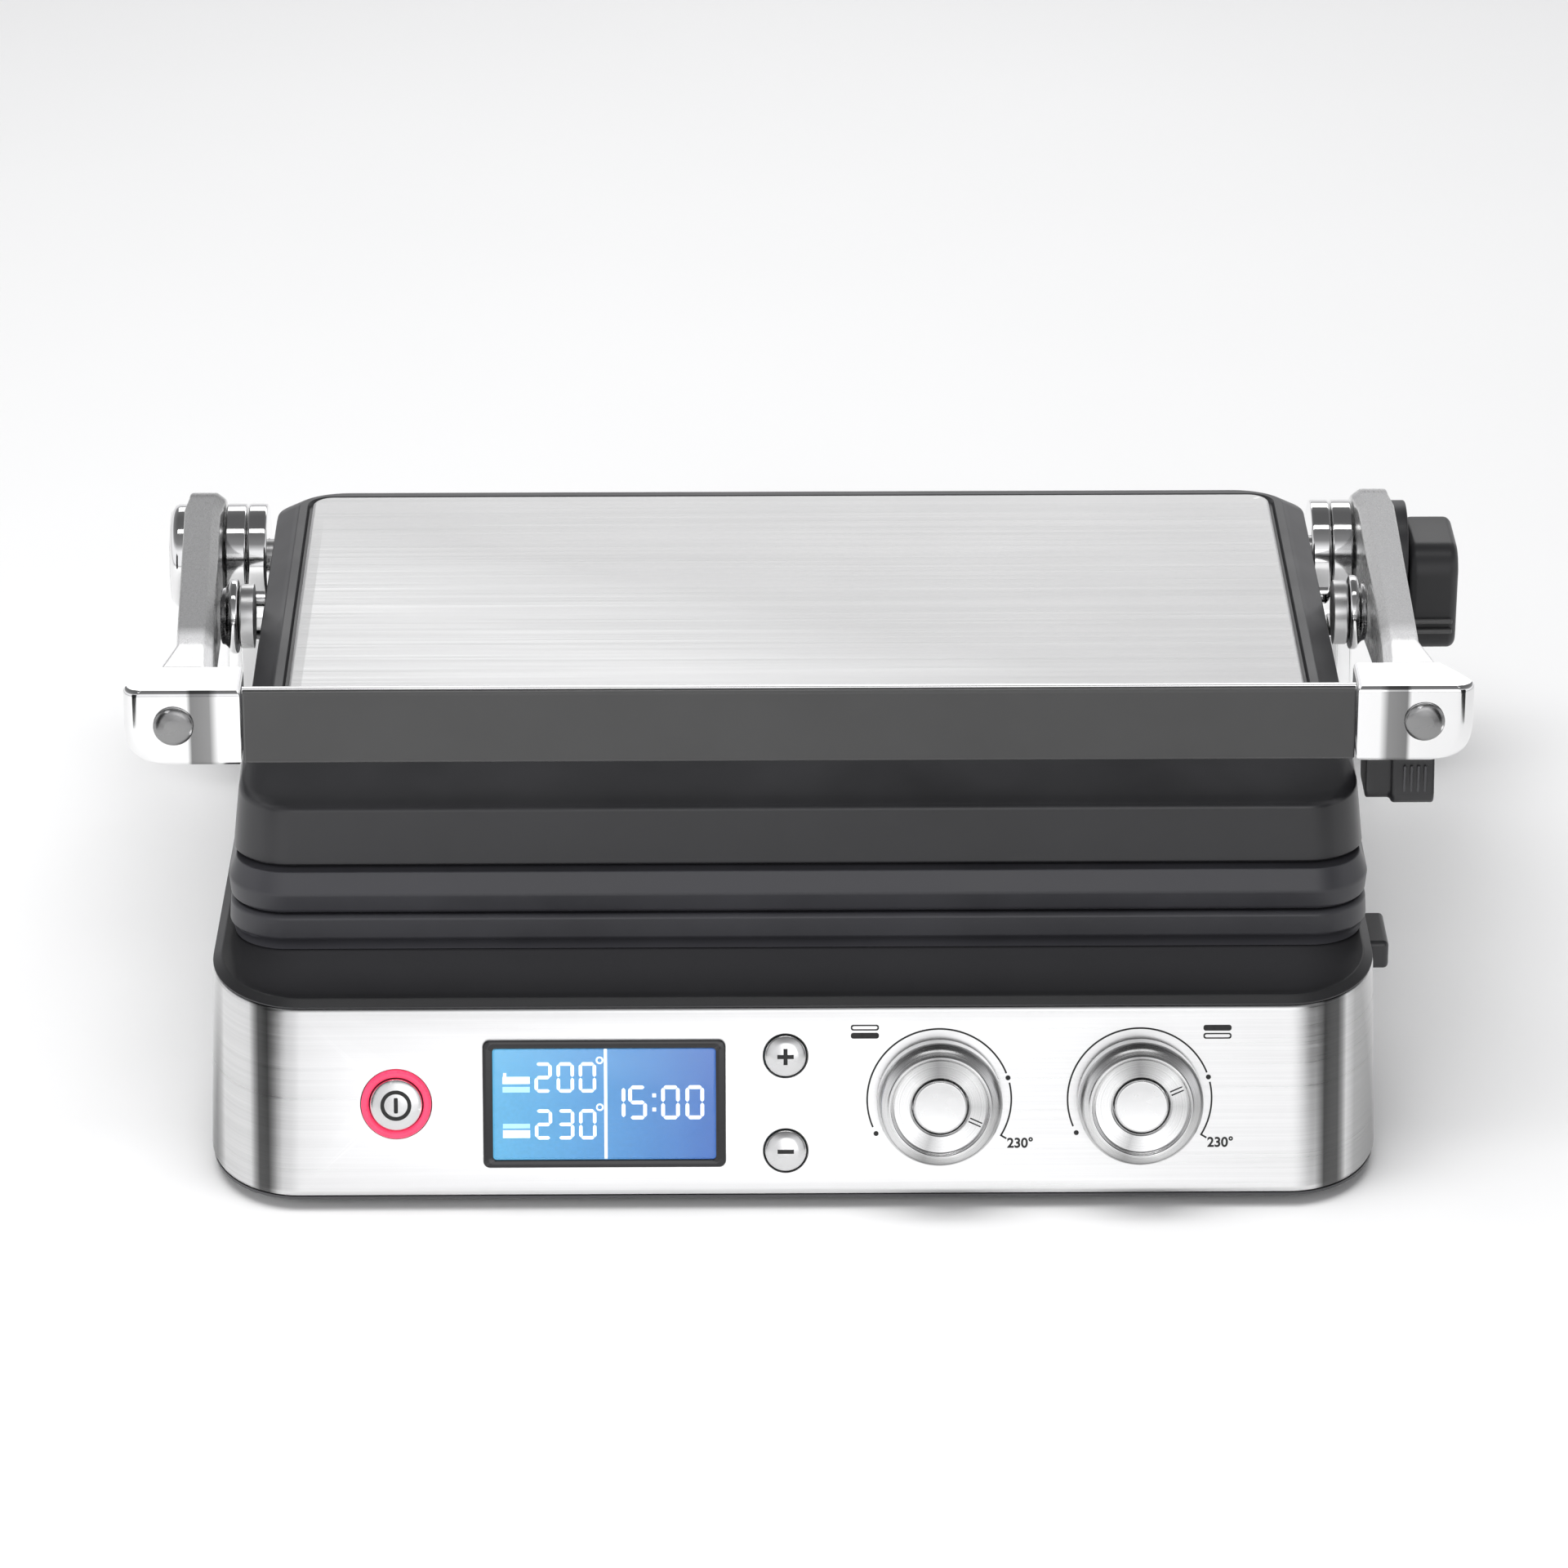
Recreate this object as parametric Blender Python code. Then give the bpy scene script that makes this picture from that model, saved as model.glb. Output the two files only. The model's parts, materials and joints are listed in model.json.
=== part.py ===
"""Electric contact grill with a floating lid, built as separate parts.

Metres, +Z up. The front, with its controls, faces -Y, and +X is to the right of someone who stands there.
Each function builds one sub-part in "press" coordinates: x = 0 is the plane midway between the two sides,
y = 0 is the front panel's bottom edge and z = 0 is the table. The empty "press" moves all of them together,
so that the origin is under the middle of the whole object.
"""
import math

import bmesh
import bpy
from mathutils import Vector

# ---- Driving dimensions, in metres ----
PRESS_OFFSET = Vector((-0.00865, -0.18673, 0.0))
GAP = 0.0003

BASE_HALF = 0.185
LEFT_SPREAD = 0.0038
BASE_REAR = 0.372
SHELL_LOW = 0.0052
SHELL_HIGH = 0.0640
SHELL_WALL = 0.0012
SHELL_DRAFT = 0.001
PANEL_LEAN = math.radians(13.3)
FRONT_CORNER = (0.030, 0.040)
REAR_CORNER = (0.012, 0.012)
FOOT_RADIUS = 0.011

DECK_HIGH = 0.0665
DECK_CHAMFER = 0.003

FRAME_HALF = 0.183
FRAME_FRONT = 0.052
FRAME_REAR = 0.318
FRAME_CORNER = 0.019
FRAME_WALL = 0.0118
FRAME_INNER_CORNER = 0.005
LOWER_FRAME_LOW = 0.0668
PLATE_LINE = 0.0792
UPPER_FRAME_HIGH = 0.0932

PLATE_HALF = 0.1708
PLATE_FRONT = 0.0642
PLATE_REAR = 0.3058
PLATE_CORNER = 0.006
PLATE_THICK = 0.0028
RIB_HIGH = 0.0024
RIB_PITCH = 0.0112
RIB_FOOT = 0.0052
RIB_TOP = 0.0028
RIM_WIDTH = 0.003
HEATER_RADIUS = 0.0031
TRAY_HALF = 0.158
TRAY_FRONT = 0.070
TRAY_REAR = 0.300
TRAY_DEEP = 0.0085

LID_LOW = 0.0938
LID_TOP = 0.1266
LID_WALL = 0.0028
COVER_HALF = 0.166
COVER_FRONT = 0.1035
COVER_REAR = 0.2966
COVER_CORNER = 0.007
COVER_THICK = 0.0018

HINGE_Y = 0.360
HINGE_Z = 0.080
HINGE_ROD_RADIUS = 0.006
BARREL_RADIUS = 0.0187
KNUCKLE_SPAN = (0.1865, 0.1937)
TOWER_SPAN = (0.1940, 0.2013)
ARM_HINGE_RADIUS = 0.0226
ARM_REAR_SPAN = (0.2019, 0.2146)
ARM_FRONT_SPAN = (0.1871, 0.1988)
ARM_BEND_Y = 0.090
ARM_TOP = 0.1578
LID_PIVOT_Y = 0.205
LID_PIVOT_Z = 0.120
DRUM_RADIUS = 0.0125

HANDLE_FRONT = 0.050
HANDLE_LOW = 0.1327
HANDLE_HIGH = 0.1577
GRIP_HALF = 0.176
GRIP_THICK = 0.0024
HANDLE_END_OUT = 0.2134
HANDLE_END_REAR = 0.0712

KNOB_X = (0.0438, 0.1072)
KNOB_V = 0.0307
KNOB_RADIUS = 0.0198
KNOB_FACE = 0.0125
KNOB_WELL = 0.0030
SEAR_RADIUS = 0.0086
DISPLAY_X = -0.0621
DISPLAY_V = 0.0299
DISPLAY_SIZE = (0.0768, 0.0412)
WINDOW_SIZE = (0.0705, 0.0362)
POWER_X = -0.1279
POWER_V = 0.0299
POWER_RADIUS = 0.0083
RING_RADII = (0.0087, 0.0111)
STEP_X = -0.0048
STEP_V = {"plus": 0.0450, "minus": 0.0143}
STEP_RADIUS = 0.0067

DRIP_HALF = 0.110
DRIP_FRONT = 0.236
DRIP_REAR = 0.3755
DRIP_LOW = 0.0075
DRIP_HIGH = 0.0185
GLAND = (0.140, 0.032)
GLAND_RADIUS = 0.0068

CORNER_STEPS = 6
ROUND_STEPS = 32

PIVOTS = {}
MATERIALS = {}

# Colour, roughness and metallic value of each finish.
FINISHES = {
    "brushed_steel": ((0.62, 0.62, 0.61), 0.32, 1.0),
    "chrome": ((0.78, 0.78, 0.78), 0.08, 1.0),
    "satin_chrome": ((0.46, 0.46, 0.47), 0.30, 1.0),
    "lid_plastic": ((0.045, 0.045, 0.048), 0.45, 0.0),
    "grip_plastic": ((0.085, 0.085, 0.085), 0.40, 0.0),
    "black_plastic": ((0.018, 0.018, 0.019), 0.50, 0.0),
    "frame_plastic": ((0.060, 0.060, 0.063), 0.50, 0.0),
    "cast_aluminium": ((0.050, 0.048, 0.047), 0.42, 0.6),
    "sheet_steel": ((0.55, 0.55, 0.54), 0.40, 1.0),
    "heater_steel": ((0.20, 0.20, 0.20), 0.50, 1.0),
    "rubber": ((0.015, 0.015, 0.015), 0.80, 0.0),
    "display_glass": ((0.10, 0.22, 0.32), 0.05, 0.0),
    "display_blue": ((0.06, 0.32, 0.70), 0.30, 0.0),
    "ring_red": ((0.80, 0.08, 0.14), 0.30, 0.0),
    "board_green": ((0.02, 0.16, 0.07), 0.50, 0.0),
}


# ---- Scene and object helpers ----
def clear_scene():
    for obj in list(bpy.data.objects):
        bpy.data.objects.remove(obj, do_unlink=True)


def make_materials():
    for name, (colour, roughness, metallic) in FINISHES.items():
        made = bpy.data.materials.new(name)
        made.use_nodes = True
        shader = made.node_tree.nodes["Principled BSDF"]
        shader.inputs["Base Color"].default_value = (*colour, 1.0)
        shader.inputs["Roughness"].default_value = roughness
        shader.inputs["Metallic"].default_value = metallic
        made.diffuse_color = (*colour, 1.0)
        MATERIALS[name] = made


def pivot(name, position, parent=None, rotation=(0.0, 0.0, 0.0)):
    """An empty at this place in press coordinates."""
    empty = bpy.data.objects.new(name, None)
    empty.empty_display_size = 0.03
    bpy.context.scene.collection.objects.link(empty)
    place = Vector(position)
    if parent:
        empty.parent = bpy.data.objects[parent]
        place = place - PIVOTS[parent]
    empty.location = place
    empty.rotation_euler = rotation
    PIVOTS[name] = Vector(position)
    return empty


def add_object(name, mesh, finish, parent, location=(0.0, 0.0, 0.0), rotation=(0.0, 0.0, 0.0), sharp=35.0):
    """Links the mesh as a part under a pivot, at a place relative to that pivot."""
    obj = bpy.data.objects.new(name, mesh)
    bpy.context.scene.collection.objects.link(obj)
    obj.parent = bpy.data.objects[parent]
    obj.location = location
    obj.rotation_euler = rotation
    mesh.shade_smooth()
    mesh.set_sharp_from_angle(angle=math.radians(sharp))
    if finish:
        mesh.materials.append(MATERIALS[finish])
    return obj


def add_in_press(name, mesh, finish, parent="press", sharp=35.0):
    """A part whose vertices are already in press coordinates."""
    offset = Vector() if parent == "press" else -PIVOTS[parent]
    return add_object(name, mesh, finish, parent, location=offset, sharp=sharp)


def bevel(obj, width, segments=2, angle=30.0):
    modifier = obj.modifiers.new("edge", "BEVEL")
    modifier.width = width
    modifier.segments = segments
    modifier.limit_method = "ANGLE"
    modifier.angle_limit = math.radians(angle)
    return obj


def boolean(obj, other, operation):
    modifier = obj.modifiers.new(other.name, "BOOLEAN")
    modifier.object = other
    modifier.operation = operation
    modifier.solver = "EXACT"
    return obj


def as_cutter(obj):
    obj.hide_render = True
    obj.display_type = "WIRE"
    return obj


# ---- Mesh helpers ----
def finish_mesh(name, bm):
    bmesh.ops.recalc_face_normals(bm, faces=bm.faces[:])
    mesh = bpy.data.meshes.new(name)
    bm.to_mesh(mesh)
    bm.free()
    return mesh


def add_rings(bm, rings, closed=False):
    """Quads between successive rings of points, with flat ends, or a closed wall back to the first ring."""
    loops = [[bm.verts.new(point) for point in ring] for ring in rings]
    count = len(rings[0])
    pairs = list(zip(loops, loops[1:]))
    if closed:
        pairs.append((loops[-1], loops[0]))
    for first, second in pairs:
        for i in range(count):
            j = (i + 1) % count
            bm.faces.new((first[i], first[j], second[j], second[i]))
    if not closed:
        bm.faces.new(loops[0])
        bm.faces.new(loops[-1])


def ring_mesh(name, rings, closed=False):
    bm = bmesh.new()
    add_rings(bm, rings, closed)
    return finish_mesh(name, bm)


def outline(half, front, rear, front_corner, rear_corner=None, stops=()):
    """Plan of a rectangle with elliptical corners, from the front right corner, counter-clockwise.

    The sides get an extra point at each y in stops.
    """
    rear_corner = rear_corner or front_corner
    corners = (
        (1, front, front_corner, -90),
        (1, rear, rear_corner, 0),
        (-1, rear, rear_corner, 90),
        (-1, front, front_corner, 180),
    )
    points = []
    for side, edge, (across, along), start in corners:
        middle_x = side * (half - across)
        middle_y = edge + along if edge == front else edge - along
        if side == -1 and edge == front:
            points += [(-half, y) for y in sorted(stops, reverse=True)]
        for step in range(CORNER_STEPS):
            angle = math.radians(start + 90 * step / (CORNER_STEPS - 1))
            points.append((middle_x + across * math.cos(angle), middle_y + along * math.sin(angle)))
        if side == 1 and edge == front:
            points += [(half, y) for y in sorted(stops)]
    return points


def at_height(points, z):
    return [(x, y, z) for x, y in points]


def round_corner(radius):
    return (radius, radius)


def box_points(low, high):
    """The two rings of an upright box."""
    plan = [(low[0], low[1]), (high[0], low[1]), (high[0], high[1]), (low[0], high[1])]
    return [at_height(plan, low[2]), at_height(plan, high[2])]


def box_mesh(name, low, high):
    return ring_mesh(name, box_points(low, high))


def rounded_block(name, size, low, high, radius):
    """A block centred on the local origin, with rounded upright edges, from local z low to high."""
    half_x, half_y = size[0] / 2, size[1] / 2
    plan = outline(half_x, -half_y, half_y, round_corner(radius))
    return ring_mesh(name, [at_height(plan, low), at_height(plan, high)])


def frame_block(name, size, hole, low, high, radius, hole_radius):
    """A flat rounded frame, centred on the local origin."""
    outer = outline(size[0] / 2, -size[1] / 2, size[1] / 2, round_corner(radius))
    inner = outline(hole[0] / 2, -hole[1] / 2, hole[1] / 2, round_corner(hole_radius))
    rings = [at_height(outer, low), at_height(outer, high), at_height(inner, high), at_height(inner, low)]
    return ring_mesh(name, rings, closed=True)


def turned_mesh(name, profile, steps=ROUND_STEPS):
    """A solid turned about local Z from (radius, height) points. Radius 0 is allowed at the two ends only."""
    bm = bmesh.new()
    on_axis = profile[0][0] == 0
    turned = profile[1:-1] if on_axis else profile
    rings = []
    for radius, height in turned:
        angles = [2 * math.pi * step / steps for step in range(steps)]
        rings.append([(radius * math.cos(a), radius * math.sin(a), height) for a in angles])
    add_rings(bm, rings, closed=not on_axis)
    return finish_mesh(name, bm)


def rod_profile(radius, low, high, chamfer=0.0):
    """Points of a plain round bar, for turned_mesh."""
    if not chamfer:
        return [(0, low), (radius, low), (radius, high), (0, high)]
    return [
        (0, low),
        (radius - chamfer, low),
        (radius, low + chamfer),
        (radius, high - chamfer),
        (radius - chamfer, high),
        (0, high),
    ]


def sleeve_profile(outer, inner, low, high, chamfer=0.0005):
    return [
        (inner, low),
        (outer - chamfer, low),
        (outer, low + chamfer),
        (outer, high - chamfer),
        (outer - chamfer, high),
        (inner, high),
    ]


def across_object(name, profile, finish, parent, position, side=1, steps=ROUND_STEPS):
    """A turned part whose axis lies along X. Local +Z points away from the press on the side given."""
    offset = Vector(position) - (Vector() if parent == "press" else PIVOTS[parent])
    turn = (0.0, side * math.pi / 2, 0.0)
    return add_object(name, turned_mesh(name, profile, steps), finish, parent, offset, turn)


# ---- Base ----
def panel_front(z):
    """The front panel's y at this height."""
    return (z - SHELL_LOW) * math.tan(PANEL_LEAN)


def base_ring(z, inset=0.0):
    """The base's outline. Its left side spreads a little towards the front."""
    draft = SHELL_DRAFT * (z - SHELL_LOW) / (SHELL_HIGH - SHELL_LOW)
    front = tuple(radius - inset for radius in FRONT_CORNER)
    rear = tuple(radius - inset for radius in REAR_CORNER)
    plan = outline(BASE_HALF - draft - inset, panel_front(z) + inset, BASE_REAR - inset, front, rear)
    spread = [(x - LEFT_SPREAD if x < 0 and y < BASE_REAR / 2 else x, y) for x, y in plan]
    return at_height(spread, z)


def make_base_pan():
    low, high = 0.0038, 0.0068
    plan_low = base_ring(SHELL_LOW, inset=SHELL_WALL + 0.0016)
    plan = [(x, y) for x, y, _ in plan_low]
    add_in_press("base_pan", ring_mesh("base_pan", [at_height(plan, low), at_height(plan, high)]), "black_plastic")


def make_feet():
    profile = [
        (0, 0.0),
        (FOOT_RADIUS - 0.001, 0.0),
        (FOOT_RADIUS, 0.001),
        (FOOT_RADIUS, 0.0035),
        (0, 0.0035),
    ]
    for end, y in (("front", 0.052), ("rear", 0.330)):
        for side, x in (("left", -0.150), ("right", 0.150)):
            name = f"foot_{end}_{side}"
            add_object(name, turned_mesh(name, profile, 24), "rubber", "press", (x, y, 0.0))


def panel_cutters():
    """One cutter for each opening in the front panel, in the panel's own coordinates."""
    deep = (-0.008, 0.008)
    bm = bmesh.new()
    window = outline(0.0373, -0.0188, 0.0188, round_corner(0.002))
    shifted = [(x + DISPLAY_X, y + DISPLAY_V) for x, y in window]
    add_rings(bm, [at_height(shifted, deep[0]), at_height(shifted, deep[1])])
    holes = [(POWER_X, POWER_V, RING_RADII[1] + GAP)]
    holes += [(STEP_X, v, STEP_RADIUS + GAP) for v in STEP_V.values()]
    holes += [(x, KNOB_V, 0.0045) for x in KNOB_X]
    for x, y, radius in holes:
        angles = [2 * math.pi * step / 32 for step in range(32)]
        circle = [(x + radius * math.cos(a), y + radius * math.sin(a)) for a in angles]
        add_rings(bm, [at_height(circle, deep[0]), at_height(circle, deep[1])])
    return as_cutter(add_object("panel_openings", finish_mesh("panel_openings", bm), None, "panel"))


def body_cutters():
    """Openings in the shell's side and rear: the release button, the drip tray and the cord gland."""
    bm = bmesh.new()
    add_rings(bm, box_points((0.178, 0.0655, 0.0517), (0.190, 0.0905, 0.0623)))
    add_rings(
        bm,
        box_points(
            (-DRIP_HALF - 0.0008, BASE_REAR - 0.006, DRIP_LOW - 0.0008),
            (DRIP_HALF + 0.0008, BASE_REAR + 0.006, DRIP_HIGH + 0.0008),
        ),
    )
    angles = [2 * math.pi * step / 24 for step in range(24)]
    radius = GLAND_RADIUS + GAP
    ring = [(GLAND[0] + radius * math.cos(a), GLAND[1] + radius * math.sin(a)) for a in angles]
    ends = [[(x, y, z) for x, z in ring] for y in (BASE_REAR - 0.006, BASE_REAR + 0.006)]
    add_rings(bm, ends)
    return as_cutter(add_in_press("shell_openings", finish_mesh("shell_openings", bm), None))


def make_base_shell():
    edge = 0.0008
    rings = [
        base_ring(SHELL_LOW, inset=edge),
        base_ring(SHELL_LOW + edge * 1.5),
        base_ring(SHELL_HIGH - edge),
        base_ring(SHELL_HIGH, inset=edge / 2),
        base_ring(SHELL_HIGH, inset=SHELL_WALL + edge / 2),
        base_ring(SHELL_LOW, inset=SHELL_WALL + edge / 2),
    ]
    shell = add_in_press("base_shell", ring_mesh("base_shell", rings, closed=True), "brushed_steel")
    boolean(shell, panel_cutters(), "DIFFERENCE")
    boolean(shell, body_cutters(), "DIFFERENCE")


def make_top_deck():
    low = SHELL_HIGH + GAP
    hole = outline(0.160, 0.0665, 0.3035, round_corner(0.008))
    rings = [
        base_ring(low, inset=0.0002),
        base_ring(DECK_HIGH, inset=DECK_CHAMFER),
        at_height(hole, DECK_HIGH),
        at_height(hole, low),
    ]
    add_in_press("top_deck", ring_mesh("top_deck", rings, closed=True), "black_plastic")


def frame_ring(z, inset=0.0):
    radius = FRAME_CORNER - inset
    return at_height(outline(FRAME_HALF - inset, FRAME_FRONT + inset, FRAME_REAR - inset, round_corner(radius)), z)


def frame_hole(z):
    plan = outline(
        FRAME_HALF - FRAME_WALL,
        FRAME_FRONT + FRAME_WALL,
        FRAME_REAR - FRAME_WALL,
        round_corner(FRAME_INNER_CORNER),
    )
    return at_height(plan, z)


def make_lower_frame():
    high = PLATE_LINE - GAP
    rings = [
        frame_ring(LOWER_FRAME_LOW, inset=0.0006),
        frame_ring(LOWER_FRAME_LOW + 0.0006),
        frame_ring(high - 0.0008),
        frame_ring(high, inset=0.0008),
        frame_hole(high),
        frame_hole(LOWER_FRAME_LOW),
    ]
    add_in_press("lower_frame", ring_mesh("lower_frame", rings, closed=True), "frame_plastic")


def make_upper_frame():
    low = PLATE_LINE + GAP
    waist = 0.0864
    rings = [
        frame_ring(low, inset=0.0008),
        frame_ring(low + 0.0008),
        frame_ring(waist),
        frame_ring(UPPER_FRAME_HIGH, inset=0.0026),
        frame_hole(UPPER_FRAME_HIGH),
        frame_hole(low),
    ]
    add_in_press("upper_frame", ring_mesh("upper_frame", rings, closed=True), "frame_plastic", "lid_axis")


def plate_ring(z, inset=0.0):
    radius = max(PLATE_CORNER - inset, 0.002)
    return at_height(outline(PLATE_HALF - inset, PLATE_FRONT + inset, PLATE_REAR - inset, round_corner(radius)), z)


def make_cooking_plate(name, back, face_sign, parent):
    """A ribbed plate. back is the height of its plain side, and its ribs point along face_sign."""
    floor = back + face_sign * PLATE_THICK
    rim = floor + face_sign * RIB_HIGH
    rings = [
        plate_ring(back),
        plate_ring(rim),
        plate_ring(rim, inset=RIM_WIDTH),
        plate_ring(floor, inset=RIM_WIDTH + 0.001),
    ]
    plate = add_in_press(name, ring_mesh(name, rings), "cast_aluminium", parent)
    ribs = bmesh.new()
    count = int((PLATE_HALF - 0.008) / RIB_PITCH)
    root = floor - face_sign * 0.0008
    for index in range(-count, count + 1):
        x = index * RIB_PITCH
        section = (
            (x - RIB_FOOT / 2, root),
            (x + RIB_FOOT / 2, root),
            (x + RIB_TOP / 2, rim - face_sign * 0.0001),
            (x - RIB_TOP / 2, rim - face_sign * 0.0001),
        )
        ends = [[(px, y, pz) for px, pz in section] for y in (PLATE_FRONT + 0.014, PLATE_REAR - 0.014)]
        add_rings(ribs, ends)
    cutter = as_cutter(add_in_press(name + "_ribs", finish_mesh(name + "_ribs", ribs), None, parent))
    boolean(plate, cutter, "UNION")


def make_heater(name, z, parent):
    """A tubular element bent into two loops, with both ends at the rear."""
    curve = bpy.data.curves.new(name, "CURVE")
    curve.dimensions = "3D"
    curve.bevel_depth = HEATER_RADIUS
    curve.bevel_resolution = 1
    curve.use_fill_caps = True
    turn = 0.022
    front, rear = 0.100, 0.276
    points = [(-0.125, 0.292), (-0.125, front + turn)]
    runs = (-0.125, -0.040, 0.040, 0.125)
    for index, (left, right) in enumerate(zip(runs, runs[1:])):
        at_front = index % 2 == 0
        middle_y = front + turn if at_front else rear - turn
        direction = -1 if at_front else 1
        for step in range(1, 12):
            angle = math.pi * step / 12
            x = (left + right) / 2 - (right - left) / 2 * math.cos(angle)
            points.append((x, middle_y + direction * turn * math.sin(angle)))
        points.append((right, middle_y))
        if index < 2:
            points.append((right, rear - turn if at_front else front + turn))
    points.append((0.125, 0.292))
    spline = curve.splines.new("POLY")
    spline.points.add(len(points) - 1)
    for target, (x, y) in zip(spline.points, points):
        target.co = (x, y, z, 1.0)
    obj = bpy.data.objects.new(name, curve)
    bpy.context.scene.collection.objects.link(obj)
    obj.parent = bpy.data.objects[parent]
    obj.location = Vector() if parent == "press" else -PIVOTS[parent]
    curve.materials.append(MATERIALS["heater_steel"])


def make_reflector(name, open_z, direction, parent):
    """A thin steel tray behind a heater. It is open towards the plate, and direction points to its floor."""
    wall = 0.001
    plan = outline(TRAY_HALF, TRAY_FRONT, TRAY_REAR, round_corner(0.006))
    hollow = outline(TRAY_HALF - wall, TRAY_FRONT + wall, TRAY_REAR - wall, round_corner(0.005))
    floor = open_z + direction * TRAY_DEEP
    rings = [
        at_height(plan, floor),
        at_height(plan, open_z),
        at_height(hollow, open_z),
        at_height(hollow, floor - direction * wall),
    ]
    add_in_press(name, ring_mesh(name, rings), "sheet_steel", parent)


def make_thermostat(name, low, parent):
    offset = Vector((0.0, 0.185, low)) - (Vector() if parent == "press" else PIVOTS[parent])
    profile = [(0, 0.0), (0.008, 0.0), (0.008, 0.0035), (0.005, 0.0052), (0, 0.0052)]
    add_object(name, turned_mesh(name, profile, 24), "sheet_steel", parent, offset)


def make_plate_release():
    """The push button on the right side that lets the lower plate go."""
    button = box_mesh("lower_plate_release", (0.1800, 0.0660, 0.0522), (0.1905, 0.0900, 0.0618))
    bevel(add_in_press("lower_plate_release", button, "black_plastic"), 0.0012)


def make_drip_tray():
    wall = 0.0016
    outer = outline(DRIP_HALF, DRIP_FRONT, DRIP_REAR, round_corner(0.004))
    inner = outline(DRIP_HALF - wall, DRIP_FRONT + wall, DRIP_REAR - 0.008, round_corner(0.003))
    rings = [
        at_height(outer, DRIP_LOW),
        at_height(outer, DRIP_HIGH),
        at_height(inner, DRIP_HIGH),
        at_height(inner, DRIP_LOW + wall),
    ]
    add_in_press("drip_tray", ring_mesh("drip_tray", rings), "black_plastic", "drip_slide")


def make_cord_gland():
    """The collar that the mains lead leaves through, at the rear."""
    profile = [
        (0.0035, -0.006),
        (GLAND_RADIUS, -0.006),
        (GLAND_RADIUS, 0.0004),
        (0.0092, 0.0004),
        (0.0092, 0.0016),
        (0.0060, 0.0058),
        (0.0035, 0.0058),
    ]
    mesh = turned_mesh("cord_gland", profile, 24)
    add_object("cord_gland", mesh, "rubber", "press", (GLAND[0], BASE_REAR, GLAND[1]), (-math.pi / 2, 0.0, 0.0))


# ---- Controls, built in the front panel's coordinates: x to the right, y up the panel, z out of it ----
def make_display():
    middle = (DISPLAY_X, DISPLAY_V, 0.0)
    surround = frame_block("display_bezel", DISPLAY_SIZE, WINDOW_SIZE, GAP, 0.0015, 0.0022, 0.0012)
    bevel(add_object("display_bezel", surround, "black_plastic", "panel", middle), 0.0004, 1)
    lens_size = (WINDOW_SIZE[0] - 2 * GAP, WINDOW_SIZE[1] - 2 * GAP)
    lens = rounded_block("display_lens", lens_size, -0.0008, 0.0011, 0.0010)
    add_object("display_lens", lens, "display_glass", "panel", middle)
    screen = rounded_block("lcd_panel", (0.0735, 0.0368), -0.0042, -0.0012, 0.0008)
    add_object("lcd_panel", screen, "display_blue", "panel", middle)


def make_control_board():
    low, high = -0.0160, -0.0144
    board = ring_mesh("control_board", box_points((-0.150, 0.010, low), (0.150, 0.050, high)))
    add_object("control_board", board, "board_green", "panel")


def make_power_button():
    middle = (POWER_X, POWER_V, 0.0)
    inner, outer = RING_RADII
    ring = [
        (inner, -0.0010),
        (outer, -0.0010),
        (outer, 0.0008),
        (outer - 0.0005, 0.0014),
        (inner + 0.0005, 0.0014),
        (inner, 0.0008),
    ]
    add_object("power_ring", turned_mesh("power_ring", ring), "ring_red", "panel", middle)
    cap = [
        (0, -0.0130),
        (0.0030, -0.0130),
        (0.0030, -0.0034),
        (POWER_RADIUS, -0.0034),
        (POWER_RADIUS, 0.0016),
        (POWER_RADIUS - 0.0008, 0.0023),
        (0, 0.0023),
    ]
    add_object("power_button", turned_mesh("power_button", cap), "satin_chrome", "panel", middle)


def make_step_buttons():
    profile = [
        (0, -0.0130),
        (0.0025, -0.0130),
        (0.0025, -0.0034),
        (STEP_RADIUS, -0.0034),
        (STEP_RADIUS, 0.0011),
        (STEP_RADIUS - 0.0007, 0.0018),
        (0, 0.0018),
    ]
    for name, v in STEP_V.items():
        mesh = turned_mesh(name + "_button", profile, 32)
        add_object(name + "_button", mesh, "satin_chrome", "panel", (STEP_X, v, 0.0))


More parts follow.
